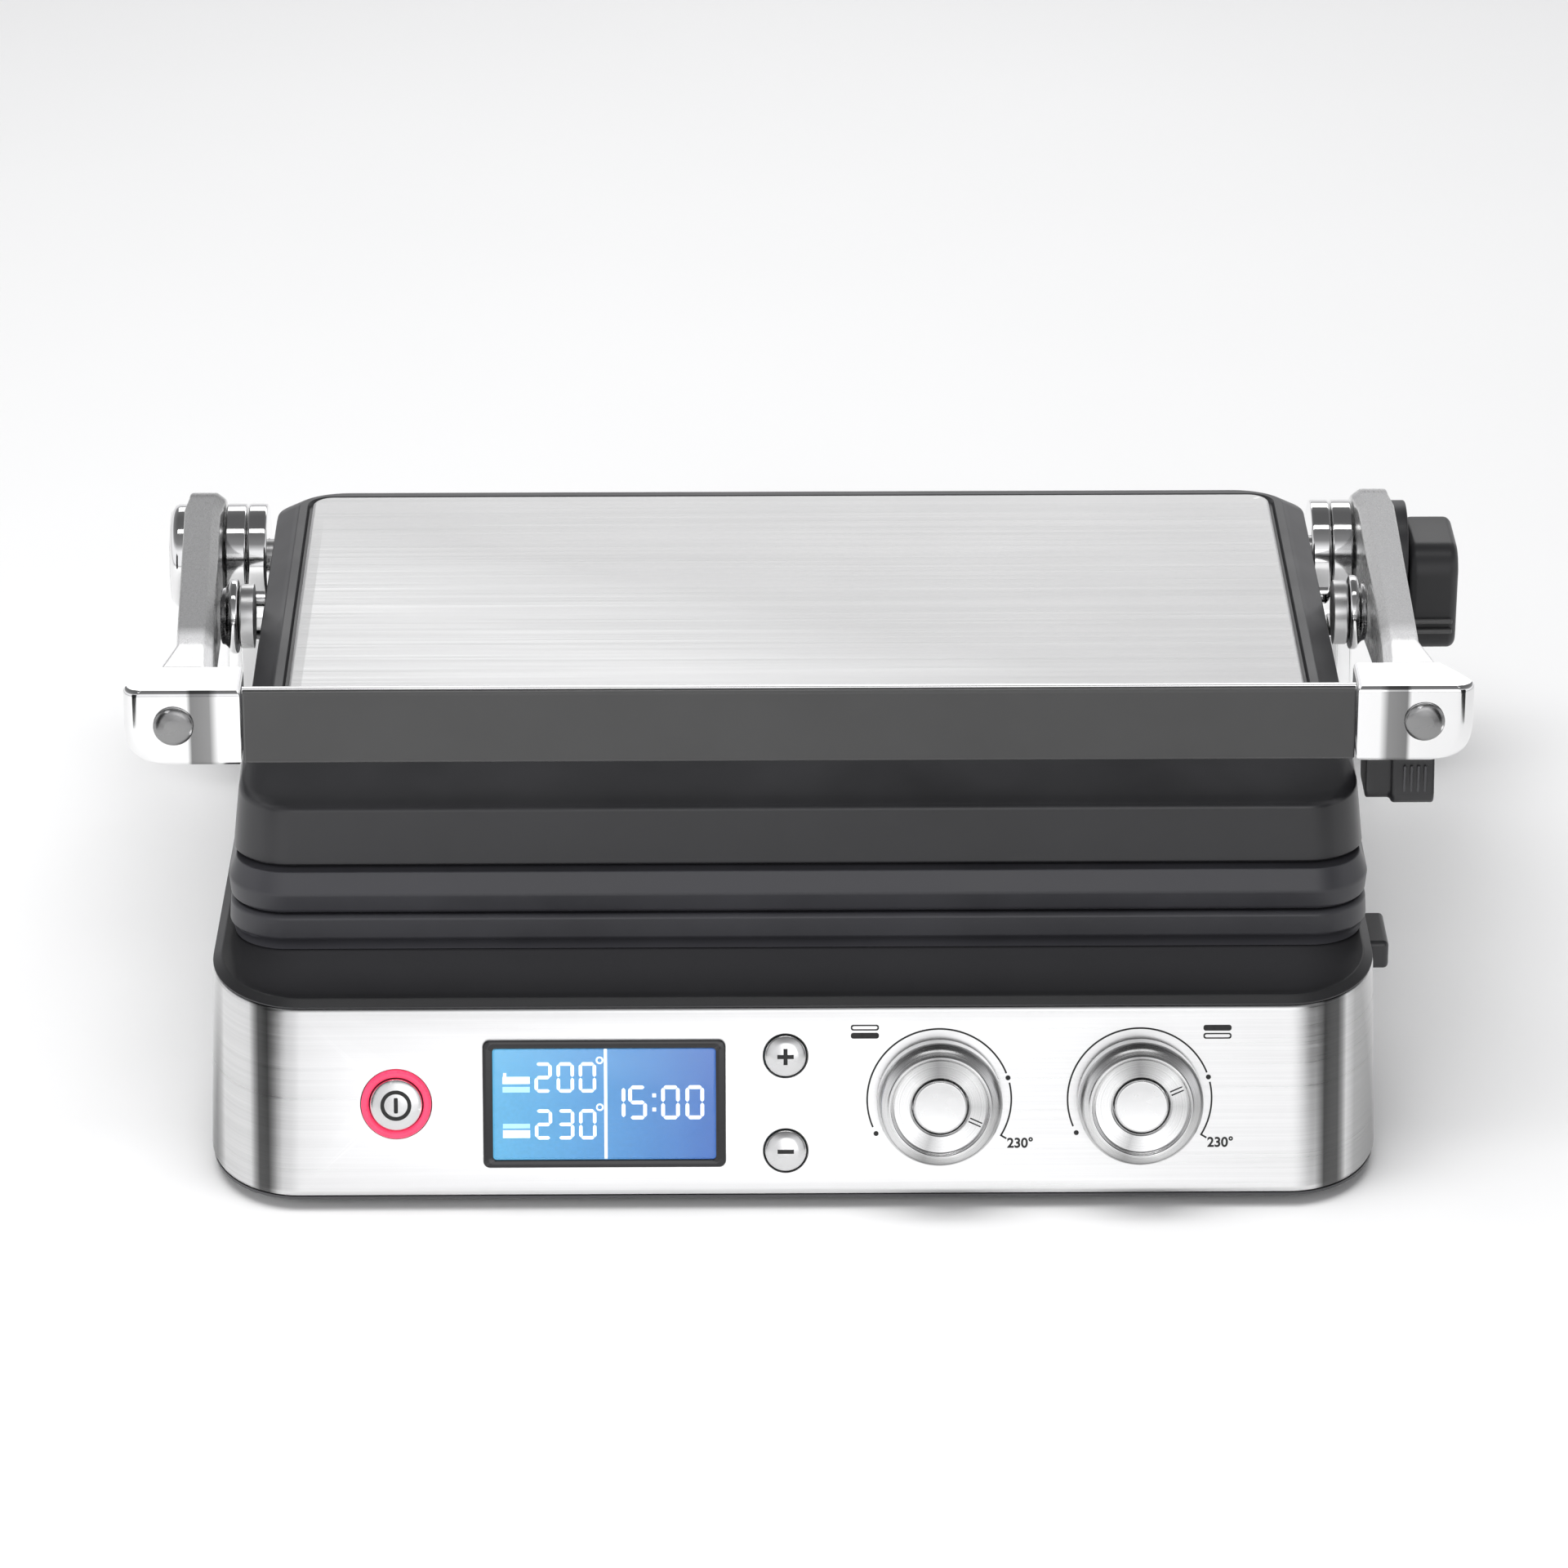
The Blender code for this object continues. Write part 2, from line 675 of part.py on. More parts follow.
def make_knobs():
    """Each knob is a cup with a press button in its middle, on a shaft from an encoder on the board."""
    well = KNOB_WELL
    knob = [
        (0.0034, 0.0010),
        (KNOB_RADIUS, 0.0010),
        (KNOB_RADIUS, KNOB_FACE - 0.0048),
        (KNOB_RADIUS - 0.0009, KNOB_FACE - 0.0024),
        (0.0164, KNOB_FACE),
        (0.0154, KNOB_FACE),
        (0.0148, KNOB_FACE - 0.0007),
        (SEAR_RADIUS + 0.0008, KNOB_FACE - 0.0012),
        (SEAR_RADIUS + GAP, KNOB_FACE - 0.0018),
        (SEAR_RADIUS + GAP, well),
        (0.0034, well),
    ]
    sear = [
        (0, well + 0.0026),
        (SEAR_RADIUS, well + 0.0026),
        (SEAR_RADIUS, KNOB_FACE - 0.0014),
        (SEAR_RADIUS - 0.0006, KNOB_FACE - 0.0006),
        (0.0045, KNOB_FACE - 0.0008),
        (0, KNOB_FACE - 0.0010),
    ]
    shaft = rod_profile(0.0030, -0.0050, well - 0.0004)
    encoder = [
        (0, -0.0140),
        (0.0068, -0.0140),
        (0.0068, -0.0075),
        (0.0040, -0.0075),
        (0.0040, -0.0054),
        (0, -0.0054),
    ]
    for side, x in zip(("left", "right"), KNOB_X):
        place = (x, KNOB_V, 0.0)
        add_object(f"knob_{side}", turned_mesh(f"knob_{side}", knob, 48), "satin_chrome", "panel", place)
        add_object(f"sear_button_{side}", turned_mesh(f"sear_button_{side}", sear, 32), "satin_chrome", "panel", place)
        add_object(f"knob_shaft_{side}", turned_mesh(f"knob_shaft_{side}", shaft, 16), "sheet_steel", "panel", place)
        add_object(f"encoder_{side}", turned_mesh(f"encoder_{side}", encoder, 16), "black_plastic", "panel", place)


# ---- Hinge ----
def mirrored(points, side):
    return [(side * x, y, z) for x, y, z in points]


def hinge_cutter():
    """The bore for the hinge rod, right across the press."""
    bore = rod_profile(HINGE_ROD_RADIUS + GAP, -0.230, 0.230)
    return as_cutter(across_object("hinge_bore", bore, None, "press", (0.0, HINGE_Y, HINGE_Z)))


def make_towers(bore):
    """The castings on the base's sides that carry the hinge: a round boss on a leg that follows the side."""
    leg_front, leg_rear, leg_low = 0.3335, 0.3600, 0.0240
    inner = BASE_HALF + 2 * GAP
    boss = []
    for step in range(25):
        angle = math.radians(-20 + 220 * step / 24)
        boss.append((HINGE_Y + BARREL_RADIUS * math.cos(angle), HINGE_Z + BARREL_RADIUS * math.sin(angle)))
    profile = [(leg_front, leg_low), (leg_rear, leg_low)] + boss
    for side, name in ((-1, "left"), (1, "right")):
        ends = [[(side * x, y, z) for y, z in profile] for x in TOWER_SPAN]
        tower = add_in_press(f"hinge_tower_{name}", ring_mesh(f"hinge_tower_{name}", ends), "chrome")
        foot_points = box_points((inner, leg_front + 0.001, leg_low + 0.001), (TOWER_SPAN[0] + 0.002, 0.359, 0.0580))
        foot_mesh = ring_mesh(f"tower_foot_{name}", [mirrored(ring, side) for ring in foot_points])
        boolean(tower, as_cutter(add_in_press(f"tower_foot_{name}", foot_mesh, None)), "UNION")
        boolean(tower, bore, "DIFFERENCE")


def make_hinge_shaft():
    """The rod through both towers and arms, with a knuckle at each side and a sleeve between them."""
    place = (0.0, HINGE_Y, HINGE_Z)
    rod = rod_profile(HINGE_ROD_RADIUS, -0.2140, 0.2140, 0.0008)
    across_object("hinge_rod", rod, "sheet_steel", "hinge_axis", place, steps=24)
    sleeve = sleeve_profile(0.0105, HINGE_ROD_RADIUS + GAP, -0.1800, 0.1800)
    across_object("hinge_sleeve", sleeve, "black_plastic", "hinge_axis", place, steps=32)
    for side, name in ((-1, "left"), (1, "right")):
        knuckle = sleeve_profile(BARREL_RADIUS, HINGE_ROD_RADIUS + GAP, *KNUCKLE_SPAN, chamfer=0.001)
        across_object(f"hinge_knuckle_{name}", knuckle, "chrome", "hinge_axis", place, side)


def make_hinge_ends():
    place = (0.0, HINGE_Y, HINGE_Z)
    start = ARM_REAR_SPAN[1] + GAP
    dome = [
        (0, start),
        (0.0185, start),
        (0.0185, start + 0.0050),
        (0.0170, start + 0.0068),
        (0, start + 0.0074),
    ]
    across_object("hinge_cap_left", dome, "chrome", "hinge_axis", place, -1)
    disc = rod_profile(0.0185, start, start + 0.0062, 0.0008)
    across_object("hinge_cap_right", disc, "black_plastic", "hinge_axis", place, 1)


def make_release_lever():
    """The lever at the right-hand hinge that frees the lid to fold right back."""
    near, far = 0.2215, 0.2390
    points = []
    corners = ((0.3720, 0.0780, 0.010, 0), (0.3500, 0.0780, 0.010, 90), (0.3490, 0.0550, 0.007, 180))
    for y, z, radius, start in corners:
        for step in range(7):
            angle = math.radians(start + 15 * step)
            points.append((y + radius * math.cos(angle), z + radius * math.sin(angle)))
    for step in range(7):
        angle = math.radians(270 + 15 * step)
        points.append((0.3660 + 0.007 * math.cos(angle), 0.0550 + 0.007 * math.sin(angle)))
    rings = [[(x, y, z) for y, z in points] for x in (near, far)]
    lever = add_in_press("hinge_release_lever", ring_mesh("hinge_release_lever", rings), "black_plastic", "hinge_axis")
    bevel(lever, 0.0028, 3)


# ---- Arms and handle ----
def arm_span(y):
    """The arm's inner and outer x at this y."""
    straight_end = HINGE_Y - ARM_HINGE_RADIUS
    if y >= straight_end:
        return ARM_REAR_SPAN
    if y <= ARM_BEND_Y:
        t = (ARM_BEND_Y - y) / (ARM_BEND_Y - HANDLE_END_REAR)
        return (ARM_FRONT_SPAN[0] - 0.0011 * t, ARM_FRONT_SPAN[1] + 0.0038 * t)
    t = (y - ARM_BEND_Y) / (straight_end - ARM_BEND_Y)
    return tuple(front + t * (rear - front) for front, rear in zip(ARM_FRONT_SPAN, ARM_REAR_SPAN))


def arm_heights(y):
    """The arm's underside and top at this y: a straight beam whose rear end is round about the hinge."""
    beam_low_front = 0.1405
    if y > HINGE_Y:
        rise = math.sqrt(max(ARM_HINGE_RADIUS ** 2 - (y - HINGE_Y) ** 2, 0.0))
        return HINGE_Z - rise, HINGE_Z + rise
    t = max((y - ARM_BEND_Y) / (HINGE_Y - ARM_BEND_Y), 0.0)
    eased = max(t, 0.5 * (t + math.sqrt(t * t + 0.0004)) - 0.002)
    top = ARM_TOP + (HINGE_Z + ARM_HINGE_RADIUS - ARM_TOP) * min(eased, 1.0)
    low = beam_low_front + (HINGE_Z - ARM_HINGE_RADIUS - beam_low_front) * t
    return low, top


def make_arms(bore):
    outer_edge, inner_edge = 0.0012, 0.0032
    stations = [HANDLE_END_REAR + GAP, 0.080, 0.086, 0.090, 0.094, 0.100, 0.112]
    stations += [0.150, 0.205, 0.260, 0.300, HINGE_Y - ARM_HINGE_RADIUS, 0.348, HINGE_Y]
    for step in range(1, 8):
        stations.append(HINGE_Y + ARM_HINGE_RADIUS * math.sin(math.radians(11.6 * step)))
    rings = []
    for y in stations:
        inner, outer = arm_span(y)
        low, high = arm_heights(y)
        soft = min(1.0, (high - low) / 0.016)
        a, b = outer_edge * soft, inner_edge * soft
        section = [
            (inner, low + a),
            (inner + a, low),
            (outer - a, low),
            (outer, low + a),
            (outer, high - a),
            (outer - a, high),
            (inner + b, high),
            (inner, high - b * 0.8),
        ]
        rings.append([(x, y, z) for x, z in section])
    for side, name in ((-1, "left"), (1, "right")):
        mesh = ring_mesh(f"arm_{name}", [mirrored(ring, side) for ring in rings])
        arm = add_in_press(f"arm_{name}", mesh, "satin_chrome", "hinge_axis")
        boolean(arm, bore, "DIFFERENCE")


def make_handle_grip():
    """The dark pad on the handle's front."""
    rear = HANDLE_FRONT + GRIP_THICK
    low, high = HANDLE_LOW + 0.0004, HANDLE_HIGH - 0.0006
    pad = box_mesh("handle_grip", (-GRIP_HALF + GAP, HANDLE_FRONT, low), (GRIP_HALF - GAP, rear, high))
    bevel(add_in_press("handle_grip", pad, "grip_plastic", "hinge_axis"), 0.0007, 2)


def make_handle_bar():
    """The metal bar behind the pad, thin along its top edge and full behind the fingers."""
    front = HANDLE_FRONT + GRIP_THICK + GAP
    section = [
        (front, HANDLE_LOW),
        (front, HANDLE_HIGH),
        (front + 0.0022, HANDLE_HIGH),
        (front + 0.0055, 0.1553),
        (front + 0.0088, 0.1508),
        (front + 0.0108, 0.1450),
        (front + 0.0104, 0.1390),
        (front + 0.0080, 0.1346),
        (front + 0.0050, HANDLE_LOW),
    ]
    ends = [[(x, y, z) for y, z in section] for x in (-GRIP_HALF + GAP, GRIP_HALF - GAP)]
    add_in_press("handle_bar", ring_mesh("handle_bar", ends), "chrome", "hinge_axis")


def handle_end_ring(z, outer_inset, inset=0.0):
    """Plan of the right-hand end casting: it flares outward from the arm to a rounded front corner."""
    inner = GRIP_HALF + GAP + inset
    out = HANDLE_END_OUT - outer_inset - inset
    front = HANDLE_FRONT + inset
    rear = HANDLE_END_REAR - inset
    radius = 0.0055
    points = [(inner, rear), (inner, front)]
    for step in range(7):
        angle = math.radians(-90 + 80 * step / 6)
        points.append((out - radius + radius * math.cos(angle), front + radius + radius * math.sin(angle)))
    arm_out = arm_span(HANDLE_END_REAR)[1]
    points += [(min(out, 0.2085) - 0.0005, 0.0632), (min(out, arm_out + 0.0008), rear)]
    return [(x, y, z) for x, y in points]


def make_handle_ends():
    low, high = HANDLE_LOW, ARM_TOP
    levels = (
        (low, 0.0070, 0.0006),
        (low + 0.0010, 0.0040, 0.0),
        (low + 0.0030, 0.0016, 0.0),
        (low + 0.0065, 0.0003, 0.0),
        (low + 0.0110, 0.0, 0.0),
        (high - 0.0010, 0.0, 0.0),
        (high, 0.0, 0.0010),
    )
    rings = [handle_end_ring(z, outer_inset, inset) for z, outer_inset, inset in levels]
    for side, name in ((-1, "left"), (1, "right")):
        mesh = ring_mesh(f"handle_end_{name}", [mirrored(ring, side) for ring in rings])
        add_in_press(f"handle_end_{name}", mesh, "chrome", "hinge_axis")


def make_handle_caps():
    """The round cover over the screw in each end casting."""
    profile = [(0, 0.0), (0.0064, 0.0), (0.0064, 0.0007), (0.0054, 0.0016), (0.0030, 0.0021), (0, 0.0022)]
    for side, name in ((-1, "left"), (1, "right")):
        place = Vector((side * 0.1974, HANDLE_FRONT - GAP, 0.1462)) - PIVOTS["hinge_axis"]
        mesh = turned_mesh(f"handle_cap_{name}", profile, 28)
        add_object(f"handle_cap_{name}", mesh, "satin_chrome", "hinge_axis", place, (math.pi / 2, 0.0, 0.0))


def make_pivot_drums():
    """The drum on each arm, and the pin on the lid's side that turns in it."""
    place = (0.0, LID_PIVOT_Y, LID_PIVOT_Z)
    pin_radius = 0.0040
    drum = [
        (pin_radius + GAP, 0.1868),
        (DRUM_RADIUS - 0.0010, 0.1868),
        (DRUM_RADIUS, 0.1878),
        (DRUM_RADIUS, 0.1892),
        (0.0100, 0.1908),
        (0.0092, 0.1926),
        (pin_radius + GAP, 0.1926),
    ]
    pin = [
        (0, 0.1816),
        (0.0108, 0.1816),
        (0.0108, 0.1858),
        (0.0100, 0.1865),
        (pin_radius, 0.1865),
        (pin_radius, 0.1922),
        (0, 0.1922),
    ]
    for side, name in ((-1, "left"), (1, "right")):
        across_object(f"pivot_drum_{name}", drum, "chrome", "hinge_axis", place, side, 36)
        across_object(f"lid_pivot_pin_{name}", pin, "sheet_steel", "lid_axis", place, side, 28)


# ---- Lid ----
def lid_ring(half, front, rear, corner, z_sides, z_front=None):
    """A level of the lid. Its front edge may lie lower than its sides, which rise to z_sides over a short run."""
    low = z_sides if z_front is None else z_front
    run_end = 0.118
    points = []
    for x, y in outline(half, front, rear, round_corner(corner), stops=(run_end, LID_PIVOT_Y)):
        t = min(max((y - front) / (run_end - front), 0.0), 1.0) if run_end > front else 1.0
        points.append((x, y, low + (z_sides - low) * t))
    return points


def make_lid_housing():
    rings = [
        lid_ring(0.1672, 0.1024, 0.2977, 0.0078, LID_TOP - COVER_THICK + 0.0004),
        lid_ring(0.1680, 0.1016, 0.2985, 0.0085, LID_TOP),
        lid_ring(0.1740, 0.0965, 0.3020, 0.0120, LID_TOP - 0.0002),
        lid_ring(0.1764, 0.0925, 0.3050, 0.0140, LID_TOP - 0.0014, LID_TOP - 0.0018),
        lid_ring(0.1786, 0.0625, 0.3100, 0.0170, 0.1215, 0.1150),
        lid_ring(0.1793, 0.0585, 0.3122, 0.0180, 0.1180, 0.1130),
        lid_ring(0.1815, 0.0580, 0.3140, 0.0190, LID_LOW),
        lid_ring(0.1815 - LID_WALL, 0.0580 + LID_WALL, 0.3140 - LID_WALL, 0.0165, LID_LOW),
        lid_ring(0.1793 - LID_WALL, 0.0585 + LID_WALL, 0.3122 - LID_WALL, 0.0155, 0.1172, 0.1108),
        lid_ring(0.1690, 0.1000, 0.2980, 0.0090, LID_TOP - COVER_THICK - LID_WALL + 0.0008),
    ]
    add_in_press("lid_housing", ring_mesh("lid_housing", rings), "lid_plastic", "lid_axis")


def make_lid_cover():
    plan = outline(COVER_HALF, COVER_FRONT, COVER_REAR, round_corner(COVER_CORNER))
    low = LID_TOP - COVER_THICK + 0.0004 + GAP
    rings = [at_height(plan, low), at_height(plan, low + COVER_THICK)]
    bevel(add_in_press("lid_cover", ring_mesh("lid_cover", rings), "brushed_steel", "lid_axis"), 0.0004, 1)


def make_height_lever():
    """The stop on the lid's right side that sets how far it closes, or locks it."""
    points = []
    corners = ((0.0790, 0.1255, 0.0055, 0), (0.0665, 0.1265, 0.0045, 90), (0.0650, 0.1165, 0.0045, 180))
    for y, z, radius, start in corners:
        for step in range(6):
            angle = math.radians(start + 18 * step)
            points.append((y + radius * math.cos(angle), z + radius * math.sin(angle)))
    for step in range(6):
        angle = math.radians(270 + 18 * step)
        points.append((0.0800 + 0.0045 * math.cos(angle), 0.1165 + 0.0045 * math.sin(angle)))
    rings = [[(x, y, z) for y, z in points] for x in (0.1808, 0.2025)]
    lever = add_in_press("height_lever", ring_mesh("height_lever", rings), "black_plastic", "lid_axis")
    bevel(lever, 0.0016, 2)


def make_pivots():
    pivot("press", (0.0, 0.0, 0.0))
    bpy.data.objects["press"].location = PRESS_OFFSET
    pivot("panel", (0.0, 0.0, SHELL_LOW), "press", (math.pi / 2 - PANEL_LEAN, 0.0, 0.0))
    pivot("hinge_axis", (0.0, HINGE_Y, HINGE_Z), "press")
    pivot("lid_axis", (0.0, LID_PIVOT_Y, LID_PIVOT_Z), "hinge_axis")
    pivot("drip_slide", (0.0, DRIP_REAR, DRIP_LOW), "press")


def make_base():
    make_base_pan()
    make_feet()
    make_base_shell()
    make_top_deck()
    make_lower_frame()
    make_cooking_plate("lower_plate", PLATE_LINE - 2 * GAP - PLATE_THICK - RIB_HIGH, 1, "press")
    make_heater("lower_heater", 0.0700, "press")
    make_reflector("lower_reflector", 0.0664, -1, "press")
    make_thermostat("lower_thermostat", 0.0594, "press")
    make_plate_release()
    make_drip_tray()
    make_cord_gland()


def make_controls():
    make_display()
    make_control_board()
    make_power_button()
    make_step_buttons()
    make_knobs()


def make_arm_group():
    bore = hinge_cutter()
    make_towers(bore)
    make_hinge_shaft()
    make_hinge_ends()
    make_release_lever()
    make_arms(bore)
    make_handle_grip()
    make_handle_bar()
    make_handle_ends()
    make_handle_caps()
    make_pivot_drums()


def make_lid():
    make_upper_frame()
    make_cooking_plate("upper_plate", PLATE_LINE + 2 * GAP + PLATE_THICK + RIB_HIGH, -1, "lid_axis")
    make_heater("upper_heater", 0.0888, "lid_axis")
    make_reflector("upper_reflector", 0.0924, 1, "lid_axis")
    make_thermostat("upper_thermostat", 0.0940, "lid_axis")
    make_lid_housing()
    make_lid_cover()
    make_height_lever()


def main():
    clear_scene()
    make_materials()
    make_pivots()
    make_base()
    make_controls()
    make_arm_group()
    make_lid()


main()
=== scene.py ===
"""Looks of the contact grill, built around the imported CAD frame.

Metres. Pieces are modelled in press coordinates: x = 0 is the middle plane, y = 0 the front panel's bottom
edge and z = 0 the table. Controls use the panel's own coordinates: x to the right, y up the panel and z out
of it.
"""
import json
import math

import bmesh
import bpy
from mathutils import Matrix, Vector


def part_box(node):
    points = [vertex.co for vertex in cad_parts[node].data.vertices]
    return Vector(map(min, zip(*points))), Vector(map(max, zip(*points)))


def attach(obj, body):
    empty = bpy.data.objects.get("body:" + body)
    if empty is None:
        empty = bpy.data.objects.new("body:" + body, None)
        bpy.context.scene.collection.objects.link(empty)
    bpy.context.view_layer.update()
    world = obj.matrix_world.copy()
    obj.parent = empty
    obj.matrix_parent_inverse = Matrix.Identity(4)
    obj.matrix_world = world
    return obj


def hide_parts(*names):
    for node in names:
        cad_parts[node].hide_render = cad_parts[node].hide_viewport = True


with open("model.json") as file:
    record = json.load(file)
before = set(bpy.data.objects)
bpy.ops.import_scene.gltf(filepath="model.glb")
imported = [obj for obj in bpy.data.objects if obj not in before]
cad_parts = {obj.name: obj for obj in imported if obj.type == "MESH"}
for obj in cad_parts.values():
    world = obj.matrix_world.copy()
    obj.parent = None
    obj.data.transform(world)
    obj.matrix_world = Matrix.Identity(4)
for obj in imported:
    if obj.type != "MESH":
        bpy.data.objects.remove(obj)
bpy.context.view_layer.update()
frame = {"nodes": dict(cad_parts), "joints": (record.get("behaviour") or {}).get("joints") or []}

# ---- Places read from the frame ----
BASE_DEPTH = 0.372
BASE_HALF = 0.185
SHELL_LOW_CORNER, SHELL_HIGH_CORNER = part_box("base_shell")
ORIGIN = Vector((SHELL_HIGH_CORNER.x - BASE_HALF, SHELL_HIGH_CORNER.y - BASE_DEPTH, 0.0))
PRESS = Matrix.Translation(ORIGIN)
JOINTS = {joint["name"]: joint for joint in frame["joints"]}
PANEL_NORMAL = Vector(JOINTS["knob_left_turn"]["axis"])
PANEL_UP = PANEL_NORMAL.cross(Vector((1.0, 0.0, 0.0)))
PANEL_LEAN = math.asin(PANEL_NORMAL.z)
SHELL_LOW = SHELL_LOW_CORNER.z
SHELL_HIGH = SHELL_HIGH_CORNER.z
PANEL = Matrix((Vector((1.0, 0.0, 0.0)), PANEL_UP, PANEL_NORMAL)).transposed().to_4x4()
PANEL.translation = ORIGIN + Vector((0.0, 0.0, SHELL_LOW))

GAP = 0.0003
CORNER_STEPS = 18
ROUND_STEPS = 96
SIDES = ((-1, "left"), (1, "right"))
MATERIALS = {}

# Pointiness between which a sharp edge gets a painted highlight.
EDGE_HIGHLIGHT = (0.515, 0.60)


def spot(node, place=PRESS):
    """Lowest and highest corner of a CAD node, in press coordinates or in the place given."""
    inverse = place.inverted()
    points = [inverse @ vertex.co for vertex in frame["nodes"][node].data.vertices]
    low = Vector([min(point[i] for point in points) for i in range(3)])
    high = Vector([max(point[i] for point in points) for i in range(3)])
    return low, high


def middle_of(node):
    low, high = spot(node)
    return (low + high) / 2


# ---- Materials ----
class Finish:
    """A material's nodes, added and linked by short calls."""

    def __init__(self, name, colour, roughness, metallic=0.0, **values):
        self.material = bpy.data.materials.new(name)
        self.material.use_nodes = True
        self.nodes = self.material.node_tree.nodes
        self.links = self.material.node_tree.links
        self.shader = self.nodes["Principled BSDF"]
        self.shader.inputs["Base Color"].default_value = (*colour, 1.0)
        self.shader.inputs["Roughness"].default_value = roughness
        self.shader.inputs["Metallic"].default_value = metallic
        for label, value in values.items():
            self.shader.inputs[label.replace("_", " ")].default_value = value
        MATERIALS[name] = self.material

    def add(self, kind, **settings):
        node = self.nodes.new(kind)
        for label, value in settings.items():
            setattr(node, label, value)
        return node

    def link(self, output, socket):
        self.links.new(output, socket)

    def coordinates(self, scale):
        """Object coordinates, stretched."""
        source = self.add("ShaderNodeTexCoord")
        mapping = self.add("ShaderNodeMapping")
        mapping.inputs["Scale"].default_value = scale
        self.link(source.outputs["Object"], mapping.inputs["Vector"])
        return mapping.outputs["Vector"]

    def noise(self, vector, scale, detail, roughness):
        node = self.add("ShaderNodeTexNoise")
        node.inputs["Scale"].default_value = scale
        node.inputs["Detail"].default_value = detail
        node.inputs["Roughness"].default_value = roughness
        self.link(vector, node.inputs["Vector"])
        return node.outputs["Fac"]

    def clouds(self, scale, detail=3.0, roughness=0.55):
        """Noise in plain object coordinates."""
        return self.noise(self.coordinates((1.0, 1.0, 1.0)), scale, detail, roughness)

    def spread(self, value, low, high, source=(0.3, 0.7)):
        """The value, mapped from its source range to this one."""
        node = self.add("ShaderNodeMapRange")
        for label, number in zip(("From Min", "From Max", "To Min", "To Max"), (*source, low, high)):
            node.inputs[label].default_value = number
        self.link(value, node.inputs["Value"])
        return node.outputs["Result"]

    def colours(self, value, *stops):
        """A colour ramp through (position, colour) stops."""
        node = self.add("ShaderNodeValToRGB")
        elements = node.color_ramp.elements
        while len(elements) < len(stops):
            elements.new(0.5)
        for element, (position, colour) in zip(elements, stops):
            element.position = position
            element.color = (*colour, 1.0)
        self.link(value, node.inputs["Fac"])
        return node.outputs["Color"]

    def blend(self, factor, first, second, kind="MIX"):
        """Mixes two colours. Each is a socket or a plain colour, and the factor is a socket or a number."""
        node = self.add("ShaderNodeMix", data_type="RGBA", blend_type=kind)
        for socket, value in ((node.inputs[0], factor), (node.inputs[6], first), (node.inputs[7], second)):
            if isinstance(value, bpy.types.NodeSocket):
                self.link(value, socket)
            else:
                socket.default_value = value if isinstance(value, float) else (*value, 1.0)
        return node.outputs[2]

    def banded(self, tone, bands, axis="X", limit=None, soft=0.0008):
        """The colour, darkened in bands of painted reflection and painted shade, given as (distance along the
        axis, share) steps.

        The two halves are alike unless the steps start below zero. A limit in y keeps bands in front of it.
        """
        source = self.add("ShaderNodeTexCoord")
        parts = self.add("ShaderNodeSeparateXYZ")
        self.link(source.outputs["Object"], parts.inputs["Vector"])
        along = parts.outputs[axis]
        start, end = bands[0][0], bands[-1][0]
        if start > 0:
            apart = self.add("ShaderNodeMath", operation="ABSOLUTE")
            self.link(along, apart.inputs[0])
            along = apart.outputs["Value"]
        stops = [((place - start) / (end - start), grey(share)) for place, share in bands]
        shade = self.colours(self.spread(along, 0.0, 1.0, (start, end)), *stops)
        reach = self.spread(parts.outputs["Y"], 1.0, 0.0, (limit, limit + soft)) if limit else 1.0
        return self.blend(reach, tone, shade, "MULTIPLY")

    def edges(self):
        """1 on sharp outer edges, where a painted highlight lightens the surface."""
        geometry = self.add("ShaderNodeNewGeometry")
        return self.spread(geometry.outputs["Pointiness"], 0.0, 1.0, EDGE_HIGHLIGHT)

    def bump(self, height, strength, distance):
        node = self.add("ShaderNodeBump")
        node.inputs["Strength"].default_value = strength
        node.inputs["Distance"].default_value = distance
        self.link(height, node.inputs["Height"])
        self.link(node.outputs["Normal"], self.shader.inputs["Normal"])

    def paint(self, colour=None, roughness=None):
        if colour:
            self.link(colour, self.shader.inputs["Base Color"])
        if roughness:
            self.link(roughness, self.shader.inputs["Roughness"])


def grey(level):
    return (level, level, level)


# Painted highlights and painted shade round a spun face, by share of a turn.
KNOB_PAINTED_FANS = (
    (0.0, 0.92), (0.12, 0.95), (0.20, 0.50), (0.30, 0.98), (0.50, 0.60),
    (0.62, 0.98), (0.76, 0.42), (0.88, 0.94), (1.0, 0.92),
)

# Painted reflection: dark bands across the front of the shell and of the handle's ends, by distance from the
# middle plane.
SHELL_PAINTED_REFLECTION = (
    (-0.1890, 0.24), (-0.1852, 0.32), (-0.1838, 1.0), (-0.1745, 1.0), (-0.1720, 0.16), (-0.1682, 0.16),
    (-0.1650, 1.0), (0.1632, 1.0), (0.1658, 0.16), (0.1712, 0.16), (0.1735, 1.0), (0.1760, 0.62),
    (0.1850, 0.46),
)
END_PAINTED_REFLECTION = ((0.1832, 1.0), (0.1860, 0.30), (0.1918, 0.24), (0.1932, 1.0))

# Painted shade along the arms, by distance from the front panel; the left arm gets the darker painted shade.
LEFT_ARM_PAINTED_SHADE = ((0.1020, 1.0), (0.1180, 0.24), (0.3620, 0.28), (0.3700, 1.0))
RIGHT_ARM_PAINTED_SHADE = ((0.1020, 1.0), (0.1180, 0.60), (0.3620, 0.60), (0.3700, 1.0))


